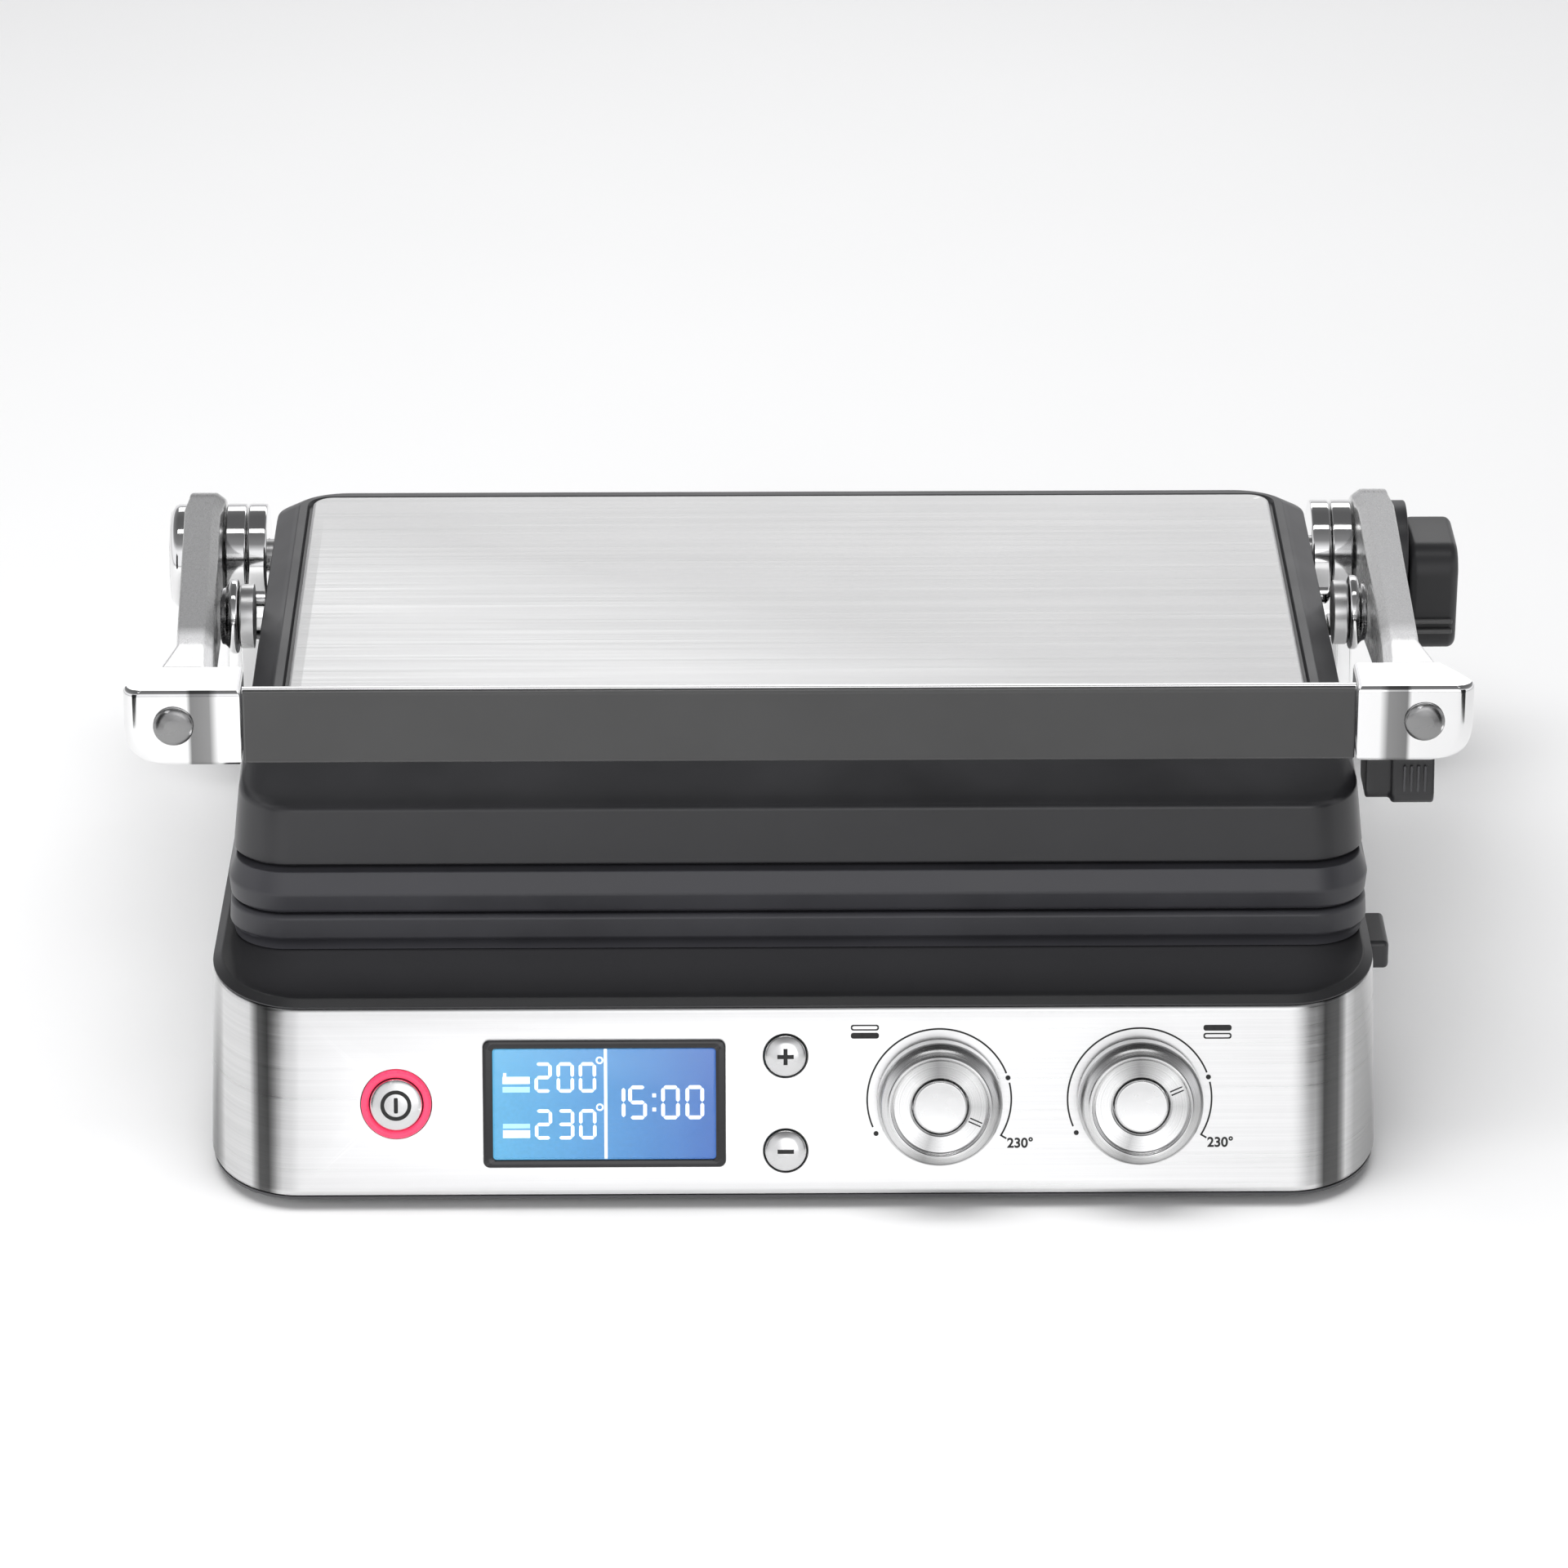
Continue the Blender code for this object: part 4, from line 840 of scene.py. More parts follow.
def make_drip_tray():
    low, high = spot("drip_tray")
    wall = 0.0016
    half = (high.x - low.x) / 2
    outer = outline(half, low.y, high.y, (0.004, 0.004))
    outer_low = outline(half - 0.001, low.y + 0.001, high.y - 0.001, (0.003, 0.003))
    inner = outline(half - wall, low.y + wall, high.y - 0.008, (0.003, 0.003))
    rings = [
        at_height(outer_low, low.z),
        at_height(outer, low.z + 0.001),
        at_height(outer, high.z - 0.0004),
        at_height([(x * 0.9975, y) for x, y in outer], high.z),
        at_height(inner, high.z),
        at_height(inner, low.z + wall),
    ]
    recess = bmesh.new()
    plan = outline(0.034, low.z + 0.0065, low.z + 0.0155, (0.0035, 0.0035))
    add_rings(recess, [[(x, y, z) for x, z in plan] for y in (high.y - 0.0035, high.y + 0.002)])
    mesh = combined(ring_mesh("drip_tray", rings), PRESS, ("DIFFERENCE", finish_mesh("tray_pull", recess)))
    stand_in("drip_tray", mesh, "drip_tray", "black_plastic", sharp=30.0)


def make_cord_gland():
    middle = middle_of("cord_gland")
    profile = [
        (0.0035, -0.0058),
        (0.0067, -0.0058),
        (0.0067, 0.0004),
        (0.0091, 0.0004),
        (0.0091, 0.0016),
        (0.0074, 0.0030),
        (0.0078, 0.0036),
        (0.0066, 0.0044),
        (0.0058, 0.0057),
        (0.0036, 0.0057),
    ]
    mesh = turned_mesh("cord_gland", softened(profile, 0.0004, 3, closed=True), 64)
    place = Matrix.Translation(ORIGIN + Vector((middle.x, BASE_DEPTH, middle.z)))
    place = place @ Matrix.Rotation(-math.pi / 2, 4, "X")
    stand_in("cord_gland", mesh, "base", "rubber", place=place)


# ---- Controls ----
PRINT_HALF = 0.00005


def panel_print(
    name, plans, body="base", material="black_ink", slot="black_plastic", place=PANEL, height=0.0,
):
    """Flat marks, a tenth of a millimetre thick. Each plan is an outline, or a pair of them for a ring."""
    bm = bmesh.new()
    low, high = height - PRINT_HALF, height + PRINT_HALF
    for plan in plans:
        if isinstance(plan, tuple):
            outer, inner = plan
            levels = ((outer, low), (outer, high), (inner, high), (inner, low))
            add_rings(bm, [at_height(*level) for level in levels], closed=True)
        else:
            add_slab(bm, plan, low, high)
    return piece(name, finish_mesh(name, bm), body, material, slot, place=place)


def bar(x, y, width, height, radius=0.0):
    """A rectangle centred on (x, y), with round corners if a radius is given."""
    if radius:
        plan = outline(width / 2, -height / 2, height / 2, (radius, radius))
        return moved(plan[::3], x, y)
    corners = ((-1, -1), (1, -1), (1, 1), (-1, 1))
    return [(x + side * width / 2, y + end * height / 2) for side, end in corners]


def arc_band(radius, width, start, end, x=0.0, y=0.0, steps=60):
    """A thin band along an arc, as one outline. Angles are in degrees, counter-clockwise from +x."""
    outer = arc(x, y, radius + width / 2, start, end, steps)
    inner = arc(x, y, radius - width / 2, start, end, steps)
    return outer + inner[::-1]


SEGMENTS = {"0": "abcdef", "1": "bc", "2": "abged", "3": "abgcd", "5": "afgcd"}


def seven_segment(text, x, y, height, width, stroke, pitch):
    """Outlines of seven-segment digits, drawn from their lower left corner."""
    plans = []
    middle, half = height / 2, stroke / 2
    gap = stroke * 0.12
    level = {"a": height - half, "g": middle, "d": half}
    for character in text:
        for part in SEGMENTS[character]:
            if part in level:
                start, end, at = half + gap, width - half - gap, level[part]
                plans.append([
                    (x + start, y + at), (x + start + half, y + at - half), (x + end - half, y + at - half),
                    (x + end, y + at), (x + end - half, y + at + half), (x + start + half, y + at + half),
                ])
            else:
                side = width - half if part in "bc" else half
                low, high = (middle, height - half) if part in "bf" else (half, middle)
                low, high = low + gap, high - gap
                at, foot, head = x + side, y + low, y + high
                plans.append([
                    (at, foot), (at + half, foot + half), (at + half, head - half),
                    (at, head), (at - half, head - half), (at - half, foot + half),
                ])
        x += pitch
    return plans


def make_display():
    low, high = spot("display_bezel", PANEL)
    middle = (low + high) / 2
    place = on_panel(middle.x, middle.y)
    window_low, window_high = spot("display_lens", PANEL)
    size = (high.x - low.x, high.y - low.y)
    hole = (window_high.x - window_low.x + 2 * GAP, window_high.y - window_low.y + 2 * GAP)

    def plan(sides, radius, inset=0.0):
        half_x, half_y = sides[0] / 2 - inset, sides[1] / 2 - inset
        return outline(half_x, -half_y, half_y, (radius, radius))

    top = high.z
    rings = [
        at_height(plan(size, 0.0022), low.z),
        at_height(plan(size, 0.0022), top - 0.0005),
        at_height(plan(size, 0.0021, 0.0002), top - 0.00015),
        at_height(plan(size, 0.0018, 0.0005), top),
        at_height(plan(hole, 0.0014, -0.0004), top),
        at_height(plan(hole, 0.0012), top - 0.0003),
        at_height(plan(hole, 0.0012), low.z),
    ]
    bezel = ring_mesh("display_bezel", rings, closed=True)
    stand_in("display_bezel", bezel, "base", "gloss_black", "black_plastic", place=place, sharp=50.0)
    lens_size = (window_high.x - window_low.x, window_high.y - window_low.y)
    rings = [
        at_height(plan(lens_size, 0.0010), window_low.z),
        at_height(plan(lens_size, 0.0010), window_high.z - 0.0002),
        at_height(plan(lens_size, 0.0010, 0.0002), window_high.z),
    ]
    stand_in("display_lens", ring_mesh("lens", rings), "base", "display_glass", place=place)
    screen_low, screen_high = spot("lcd_panel", PANEL)
    screen = bevelled(ring_mesh("lcd", box_rings(screen_low, screen_high)), 0.0003, 2)
    stand_in("lcd_panel", screen, "base", "display_blue", place=PANEL)
    make_readout(window_low.x, window_low.y, lens_size, screen_high.z + 0.00008)


def make_readout(left, bottom, size, height):
    """The figures on the lit display, placed from its lower left corner."""
    plans = [bar(left + size[0] * 0.506, bottom + size[1] / 2, 0.0010, size[1])]
    for text, level in (("200", 0.0212), ("230", 0.0060)):
        plans += seven_segment(text, left + 0.0129, bottom + level, 0.0098, 0.0055, 0.0011, 0.0070)
        x, y = left + 0.0335, bottom + level + 0.0104
        plans.append((circle(x, y, 0.0012, 32), circle(x, y, 0.0007, 32)))
    time_bottom = bottom + 0.0124
    for text, start in (("1", 0.0357), ("5", 0.0425), ("00", 0.0529)):
        plans += seven_segment(text, left + start, time_bottom, 0.0110, 0.0059, 0.0012, 0.0077)
    plans += [bar(left + 0.0507, time_bottom + rise, 0.0012, 0.0012) for rise in (0.0032, 0.0078)]
    bar_x, bar_width = left + 0.0071, 0.0086
    plans.append(bar(bar_x, bottom + 0.0252, bar_width, 0.0023))
    plans.append(bar(left + 0.0035, bottom + 0.0268, 0.0010, 0.0016))
    plans.append(bar(bar_x, bottom + 0.0078, bar_width, 0.0025))
    options = {"material": "screen_white", "slot": "display_blue", "height": height}
    panel_print("display_figures", plans, **options)
    pale = [bar(bar_x, bottom + rise, bar_width, line) for rise, line in ((0.0222, 0.0018), (0.0104, 0.0015))]
    options["material"] = "screen_pale"
    panel_print("display_pale_bars", pale, **options)


def button_mesh(name, low, high, stem, shoulder, inset, edge, soft):
    """A round push button on its stem. Its dome starts at the edge's height, drawn in by the inset."""
    radius, flange = (high.x - low.x) / 2, -0.0034
    profile = [(stem, low.z), (stem, flange), (radius, flange), (radius, shoulder), (radius - inset, edge)]
    profile = softened(profile, [0, 0, 0, soft, 0], 5)
    return turned_mesh(name, domed(profile, high.z, high.z - edge))


def make_power_button():
    low, high = spot("power_ring", PANEL)
    middle = (low + high) / 2
    outer, inner = (high.x - low.x) / 2, 0.0087
    place = on_panel(middle.x, middle.y)
    half = (outer - inner) / 2
    ring = [(inner, low.z), (outer, low.z)]
    for step in range(13):
        angle = math.pi * step / 12
        ring.append((inner + half + half * math.cos(angle), 0.0004 + (high.z - 0.0004) * math.sin(angle)))
    mesh = turned_mesh("power_ring", ring)
    stand_in("power_ring", mesh, "base", "ring_red", place=place, sharp=70.0)
    low, high = spot("power_button", PANEL)
    mesh = button_mesh("power_button", low, high, 0.0030, 0.0014, 0.0014, 0.0019, 0.0006)
    stand_in("power_button", mesh, "power_button", "button_metal", "satin_metal", place=place)
    marks = [(circle(0, 0, 0.0049), circle(0, 0, 0.0037)), bar(0, 0, 0.0013, 0.0050, 0.0004)]
    panel_print("power_symbol", marks, "power_button", place=place, height=high.z + 0.00001)


def make_step_buttons():
    for name in ("plus", "minus"):
        low, high = spot(f"{name}_button", PANEL)
        middle = (low + high) / 2
        radius = (high.x - low.x) / 2
        place = on_panel(middle.x, middle.y)
        mesh = button_mesh(name, low, high, 0.0025, 0.0004, 0.0020, 0.0013, 0.0007)
        stand_in(f"{name}_button", mesh, f"{name}_button", "button_metal", "satin_metal", place=place)
        marks = [bar(0, 0, 0.0052, 0.0013)]
        if name == "plus":
            marks += [bar(0, aside, 0.0013, 0.00195) for aside in (0.001625, -0.001625)]
        panel_print(f"{name}_symbol", marks, f"{name}_button", place=place, height=high.z)
        rim = [(circle(0, 0, radius + 0.00055), circle(0, 0, radius + GAP + 0.00002))]
        panel_print(f"{name}_rim_line", rim, place=place, height=0.00004)


def make_knobs():
    for side, pointer in (("left", -24.0), ("right", 24.0)):
        low, high = spot(f"knob_{side}", PANEL)
        middle = (low + high) / 2
        radius, face = (high.x - low.x) / 2, high.z
        hub = 0.0086
        place = on_panel(middle.x, middle.y)
        knob = [
            (0.0034, 0.0010),
            (radius - 0.0012, 0.0010),
            (radius, 0.0018),
            (radius, face - 0.0046),
            (radius - 0.0009, face - 0.0023),
            (0.0163, face),
            (0.0156, face),
            (0.0148, face - 0.0011),
            (hub + 0.0010, face - 0.0013),
            (hub + GAP, face - 0.0018),
            (hub + GAP, 0.0030),
            (0.0034, 0.0030),
        ]
        reach = [0, 0.0004, 0.0006, 0.0009, 0.0012, 0.0005, 0.0004, 0.0005, 0.0003, 0.0003, 0, 0]
        mesh = turned_mesh("knob", softened(knob, reach, 5), 160)
        stand_in(f"knob_{side}", mesh, f"knob_{side}", "spun_metal", "satin_metal", place=place, sharp=45.0)
        low, high = spot(f"sear_button_{side}", PANEL)
        cap = [(hub, low.z), (hub, face - 0.0015), (hub - 0.0005, face - 0.0008), (0.0060, face - 0.0009)]
        cap = softened(cap, [0, 0.0004, 0.0003, 0], 4)
        mesh = turned_mesh("sear", domed(cap, face - 0.0010, -0.0001), 128)
        body = f"sear_button_{side}"
        stand_in(f"sear_button_{side}", mesh, body, "button_metal", "satin_metal", place=place)
        turn = Matrix.Rotation(math.radians(pointer), 4, "Z")
        lines = [bar(0.0121, offset, 0.0042, 0.00040) for offset in (-0.0006, 0.0006)]
        tilt = place @ turn
        panel_print(f"knob_{side}_pointer", lines, f"knob_{side}", place=tilt, height=face - 0.00112)
        make_scale(side, middle.x, middle.y)


def make_scale(side, x, y):
    """The printed scale round a knob: an arc between two dots, a short run to a tick, and a number."""
    reach, line = 0.0228, 0.00055
    plans = [arc_band(reach, line, 21.5, 203.0, x, y), arc_band(reach, line, -31.0, 13.5, x, y, 24)]
    for degrees in (17.6, 208.8):
        angle = math.radians(degrees)
        plans.append(circle(x + reach * math.cos(angle), y + reach * math.sin(angle), 0.0008, 24))
    half, tick = line / 2, 0.0020
    cosine, sine = math.cos(math.radians(-31.0)), math.sin(math.radians(-31.0))
    hook = []
    for along, aside in ((-half, -half), (tick, -half), (tick, half), (-half, half)):
        out = reach + along
        hook.append((x + out * cosine - aside * sine, y + out * sine + aside * cosine))
    plans.append(hook)
    panel_print(f"scale_{side}", plans, height=0.00004)
    text = bpy.data.curves.new(f"number_{side}", "FONT")
    text.body = "230°"
    text.size = 0.0044
    text.extrude = 0.00005
    text.offset = 0.00012
    number = bpy.data.objects.new(f"scale_{side}_number", text)
    bpy.context.scene.collection.objects.link(number)
    number.matrix_world = on_panel(x + 0.0215, y - 0.0157, 0.00004)
    text.materials.append(MATERIALS["black_ink"])
    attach(number, "base")


def make_icons():
    """Two stacked bars above each knob: the filled one tells which plate the knob is for."""
    width, height, line = 0.0089, 0.0019, 0.00045
    for side, x, y, filled in (("left", 0.0203, 0.0527, -1), ("right", 0.1317, 0.0522, 1)):
        plans = []
        for level in (-1, 1):
            centre = y + level * 0.0013
            outer = bar(x, centre, width, height, 0.0008)
            if level == filled:
                plans.append(outer)
            else:
                plans.append((outer, bar(x, centre, width - 2 * line, height - 2 * line, 0.0006)))
        panel_print(f"plate_icon_{side}", plans, height=0.00004)


# ---- Hinge ----
def hinge_middle():
    middle = middle_of("hinge_rod")
    return middle.y, middle.z


BARREL_RADIUS = 0.0187


def make_towers():
    y, z = hinge_middle()
    leg_front, leg_rear, leg_low = 0.3335, 0.3600, 0.0240
    near, far = 0.1940, 0.2013
    profile = [(leg_front, leg_low), (leg_rear, leg_low)] + arc(y, z, BARREL_RADIUS, -20, 200, 48)
    for side, name in SIDES:
        node = f"hinge_tower_{name}"
        tower = ring_mesh(node, [[(side * x, py, pz) for py, pz in profile] for x in (near, far)])
        tower = bevelled(tower, 0.0007, 3, 50.0)
        corner = (BASE_HALF + 2 * GAP, leg_front + 0.001, leg_low + 0.001)
        foot = box_rings(corner, (near + 0.002, 0.359, 0.0580))
        foot_mesh = ring_mesh("foot", mirrored(foot, side))
        mesh = combined(tower, PRESS, ("UNION", bevelled(foot_mesh, 0.0006, 2)))
        stand_in(node, mesh, "base", "chrome", sharp=32.0)


def make_hinge_shaft():
    y, z = hinge_middle()
    low, high = spot("hinge_rod")
    reach = (high.x - low.x) / 2
    rod = softened([(0, -reach), (0.0055, -reach), (0.0060, -reach + 0.0006), (0.0060, reach - 0.0006),
                    (0.0055, reach), (0, reach)], 0.0003, 3)
    stand_in("hinge_rod", turned_mesh("rod", rod, 48), "hinge_shaft", "sheet_steel",
             place=across((0.0, y, z)))
    low, high = spot("hinge_sleeve")
    reach, outer = (high.x - low.x) / 2, (high.z - low.z) / 2
    sleeve = [(0.0063, -reach), (outer, -reach), (outer, reach), (0.0063, reach)]
    mesh = turned_mesh("sleeve", softened(sleeve, [0, 0.0008, 0.0008, 0], 4), 64)
    stand_in("hinge_sleeve", mesh, "hinge_shaft", "black_plastic", place=across((0.0, y, z)))
    for side, name in SIDES:
        near, far, outer = 0.1865, 0.1937, BARREL_RADIUS
        knuckle = [(0.0063, near), (outer, near), (outer, far), (0.0063, far)]
        mesh = turned_mesh("knuckle", softened(knuckle, [0, 0.0012, 0.0012, 0], 5))
        stand_in(f"hinge_knuckle_{name}", mesh, "hinge_shaft", "chrome", place=across((0.0, y, z), side))


def make_hinge_ends():
    y, z = hinge_middle()
    start = 0.2149
    dome = [(0.0185, start), (0.0185, start + 0.0046), (0.0160, start + 0.0063)]
    dome = [(0, start)] + softened(dome, [0, 0.0018, 0], 7)
    mesh = turned_mesh("cap", domed(dome, start + 0.0067, 0.0004))
    stand_in("hinge_cap_left", mesh, "arms", "chrome", place=across((0.0, y, z), -1))
    disc = [(0.0185, start), (0.0185, start + 0.0062), (0.0148, start + 0.0062), (0.0140, start + 0.0054)]
    disc = [(0, start)] + softened(disc, [0, 0.0008, 0.0004, 0], 4)
    mesh = turned_mesh("disc", domed(disc, start + 0.0058, 0.0004))
    stand_in("hinge_cap_right", mesh, "arms", "black_plastic", place=across((0.0, y, z), 1))


def lever_outline(corners):
    """A side view from (y, z, radius, start angle) corners, each a quarter of a turn."""
    points = []
    for y, z, radius, start in corners:
        points += arc(y, z, radius, start, start + 90, 10)
    return points


def make_release_lever():
    low, high = spot("hinge_release_lever")
    corners = (
        (0.3720, 0.0780, 0.010, 0),
        (0.3500, 0.0780, 0.010, 90),
        (0.3490, 0.0550, 0.007, 180),
        (0.3660, 0.0550, 0.007, 270),
    )
    points = lever_outline(corners)
    mesh = ring_mesh("release_lever", [[(x, y, z) for y, z in points] for x in (low.x, high.x)])
    mesh = bevelled(mesh, 0.0030, 6, 50.0)
    stand_in("hinge_release_lever", mesh, "release_lever", "black_plastic")
    ribs = bmesh.new()
    for level in (0.0560, 0.0598):
        corner = (low.x + 0.0016, low.y, level)
        add_rings(ribs, box_rings(corner, (high.x - 0.0016, low.y + 0.0030, level + 0.0016)))
    ribs_mesh = bevelled(finish_mesh("lever_ribs", ribs), 0.0006, 3)
    piece("release_lever_ribs", ribs_mesh, "release_lever", "grip_plastic")


def make_height_lever():
    low, high = spot("height_lever")
    corners = (
        (0.0790, 0.1255, 0.0055, 0),
        (0.0665, 0.1265, 0.0045, 90),
        (0.0650, 0.1165, 0.0045, 180),
        (0.0800, 0.1165, 0.0045, 270),
    )
    points = lever_outline(corners)
    rings = []
    middle_y = sum(y for y, _ in points) / len(points)
    middle_z = sum(z for _, z in points) / len(points)
    for x, share in ((low.x, 0.86), (0.1885, 0.86), (0.1893, 1.0), (high.x, 1.0)):
        shrunk = [(middle_y + (y - middle_y) * share, middle_z + (z - middle_z) * share) for y, z in points]
        rings.append([(x, y, z) for y, z in shrunk])
    mesh = bevelled(ring_mesh("height_lever", rings), 0.0016, 5, 50.0)
    stand_in("height_lever", mesh, "height_lever", "black_plastic")
    ribs = bmesh.new()
    for index in range(4):
        x = 0.1925 + index * 0.0022
        corner = (x, low.y + 0.00005, low.z + 0.0050)
        add_rings(ribs, box_rings(corner, (x + 0.0009, low.y + 0.0010, high.z - 0.0050)))
    ribs_mesh = bevelled(finish_mesh("height_ribs", ribs), 0.0003, 2)
    piece("height_lever_ribs", ribs_mesh, "height_lever", "black_plastic")


# ---- Arms and handle ----
HANDLE_END_REAR = 0.0712
ARM_BEND_Y = 0.090
ARM_FRONT_SPAN = (0.1871, 0.1988)
ARM_REAR_SPAN = (0.2019, 0.2146)
ARM_HINGE_RADIUS = 0.0226
ARM_TOP = 0.1578
BEAM_LOW_FRONT = 0.1405


def arm_span(y):
    """The arm's inner and outer x at this y."""
    straight_end = hinge_middle()[0] - ARM_HINGE_RADIUS
    if y >= straight_end:
        return ARM_REAR_SPAN
    if y <= ARM_BEND_Y:
        t = (ARM_BEND_Y - y) / (ARM_BEND_Y - HANDLE_END_REAR)
        return (ARM_FRONT_SPAN[0] - 0.0011 * t, ARM_FRONT_SPAN[1] + 0.0038 * t)
    t = (y - ARM_BEND_Y) / (straight_end - ARM_BEND_Y)
    return tuple(front + t * (rear - front) for front, rear in zip(ARM_FRONT_SPAN, ARM_REAR_SPAN))


def arm_heights(y):
    """The arm's underside and top at this y: a straight beam whose rear end is round about the hinge."""
    hinge_y, hinge_z = hinge_middle()
    if y > hinge_y:
        rise = math.sqrt(max(ARM_HINGE_RADIUS ** 2 - (y - hinge_y) ** 2, 0.0))
        return hinge_z - rise, hinge_z + rise
    t = max((y - ARM_BEND_Y) / (hinge_y - ARM_BEND_Y), 0.0)
    eased = max(t, 0.5 * (t + math.sqrt(t * t + 0.0004)) - 0.002)
    top = ARM_TOP + (hinge_z + ARM_HINGE_RADIUS - ARM_TOP) * min(eased, 1.0)
    low = BEAM_LOW_FRONT + (hinge_z - ARM_HINGE_RADIUS - BEAM_LOW_FRONT) * t
    return low, top


def make_arms():
    hinge_y, _ = hinge_middle()
    stations = [HANDLE_END_REAR + GAP + 0.0022 * step for step in range(20)]
    stations += [0.125, 0.150, 0.180, 0.205, 0.230, 0.260, 0.300, hinge_y - ARM_HINGE_RADIUS, 0.348, hinge_y]
    stations += [hinge_y + ARM_HINGE_RADIUS * math.sin(math.radians(83 * step / 24)) for step in range(1, 25)]
    rings = []
    for y in stations:
        inner, outer = arm_span(y)
        low, high = arm_heights(y)
        soft = min(1.0, (high - low) / 0.016)
        a, b = 0.0012 * soft, 0.0032 * soft
        section = [
            (inner, low),
            (outer, low),
            (outer, high),
            (inner + b, high),
            (inner, high - b * 0.8),
        ]
        rounded = softened(section, [a, a, a, 0.0006 * soft, 0.0006 * soft], 4, closed=True)
        rings.append([(x, y, z) for x, z in rounded])
    for side, name in SIDES:
        mesh = ring_mesh(f"arm_{name}", mirrored(rings, side))
        stand_in(f"arm_{name}", mesh, "arms", f"{name}_arm_metal", "satin_metal", sharp=40.0)


def make_handle_grip():
    low, high = spot("handle_grip")
    half = (high.x - low.x) / 2
    mesh = bevelled(ring_mesh("grip", box_rings((-half, low.y, low.z), (half, high.y, high.z))), 0.0009, 5)
    stand_in("handle_grip", mesh, "arms", "grip_plastic")


def make_handle_bar():
    low, high = spot("handle_bar")
    half = (high.x - low.x) / 2
    front, top, bottom = low.y, high.z, low.z
    section = [
        (front, bottom),
        (front, top),
        (front + 0.0022, top),
        (front + 0.0055, 0.1553),
        (front + 0.0088, 0.1508),
        (front + 0.0108, 0.1450),
        (front + 0.0104, 0.1390),
        (front + 0.0080, 0.1346),
        (front + 0.0050, bottom),
    ]
    reach = [0, 0.0005, 0.0010, 0.0016, 0.0022, 0.0022, 0.0022, 0.0016, 0.0010]
    section = softened(section, reach, 5, closed=True)
    mesh = ring_mesh("handle_bar", [[(x, y, z) for y, z in section] for x in (-half, half)])
    stand_in("handle_bar", mesh, "arms", "chrome", sharp=60.0)


def handle_end_ring(z, outer_inset, inset=0.0):
    """Plan of the right-hand end casting: it flares outward from the arm to a rounded front corner."""
    low, high = spot("handle_end_right")
    inner = low.x + inset
    out = high.x - outer_inset - inset
    front, rear = low.y + inset, HANDLE_END_REAR - inset
    radius = 0.0055
    points = [(inner, rear), (inner, front)] + arc(out - radius, front + radius, radius, -90, -10, 16)
    arm_out = arm_span(HANDLE_END_REAR)[1]
    side = [points[-1], (min(out, 0.2085) - 0.0005, 0.0632), (min(out, arm_out + 0.0008), rear)]
    points += softened(side, [0, 0.0030, 0], 6)[1:]
    return [(x, y, z) for x, y in points]


def make_handle_ends():
    low, high = spot("handle_end_right")
    levels = [
        (low.z, 0.0078, 0.0006),
        (low.z + 0.0010, 0.0046, 0.0),
        (low.z + 0.0030, 0.0020, 0.0),
        (low.z + 0.0065, 0.0005, 0.0),
        (low.z + 0.0110, 0.0, 0.0),
        (high.z - 0.0011, 0.0, 0.0),
        (high.z, 0.0, 0.0011),
    ]
    levels = softened(levels, [0, 0.0008, 0.0010, 0.0018, 0.0020, 0.0010, 0], 4)
    rings = [handle_end_ring(*level) for level in levels]
    for side, name in SIDES:
        mesh = ring_mesh("handle_end", mirrored(rings, side))
        stand_in(f"handle_end_{name}", mesh, "arms", "end_chrome", "chrome", sharp=40.0)
        node = f"handle_cap_{name}"
        cap_low, cap_high = spot(node)
        middle = (cap_low + cap_high) / 2
        radius = (cap_high.x - cap_low.x) / 2
        profile = [(radius, 0.0), (radius, 0.0008), (radius - 0.0012, 0.0016), (0.0030, 0.0020)]
        profile = [(0, 0.0)] + softened(profile, [0, 0.0005, 0.0008, 0], 5)
        mesh = turned_mesh("cap", domed(profile, 0.0022, 0.0002), 64)
        place = Matrix.Translation(ORIGIN + Vector((middle.x, cap_high.y, middle.z)))
        place = place @ Matrix.Rotation(math.pi / 2, 4, "X")
        stand_in(node, mesh, "arms", "cap_metal", "satin_metal", place=place)


def make_pivot_drums():
    middle = middle_of("pivot_drum_left")
    place_yz = (0.0, middle.y, middle.z)
    radius, bore, start, end = 0.0125, 0.0043, 0.1868, 0.1926
    drum = [(bore, start), (radius, start), (radius, 0.1893), (0.0101, 0.1908), (0.0092, end), (bore, end)]
    drum = softened(drum, [0, 0.0010, 0.0008, 0.0006, 0.0006, 0], 5)
    head, neck, shoulder, back, tip = 0.0108, 0.0040, 0.1865, 0.1816, 0.1922
    pin = [(head, back), (head, 0.1860), (0.0098, shoulder), (neck, shoulder), (neck, 0.1920), (0.0034, tip)]
    pin = [(0, back)] + softened(pin, [0, 0.0005, 0.0004, 0.0003, 0.0003, 0], 3)
    for side, name in SIDES:
        place = across(place_yz, side)
        stand_in(f"pivot_drum_{name}", turned_mesh("drum", drum), "arms", "chrome", place=place)
        mesh = turned_mesh("pin", domed(pin, tip, 0.0), 64)
        stand_in(f"lid_pivot_pin_{name}", mesh, "lid", "sheet_steel", place=place)


# ---- Lid ----
def lid_ring(half, front, rear, corner, z_sides, z_front):
    """A level of the lid. Its front edge may lie lower than its sides, which rise over a short run."""
    rear_corner = (corner * 1.35, corner) if corner > 0.011 else (corner, corner)
    run_end = 0.118
    pivot_y = middle_of("pivot_drum_left").y
    points = []
    for x, y in outline(half, front, rear, (corner, corner), rear_corner, stops=(run_end, pivot_y)):
        t = min(max((y - front) / (run_end - front), 0.0), 1.0)
        points.append((x, y, z_front + (z_sides - z_front) * t))
    return points


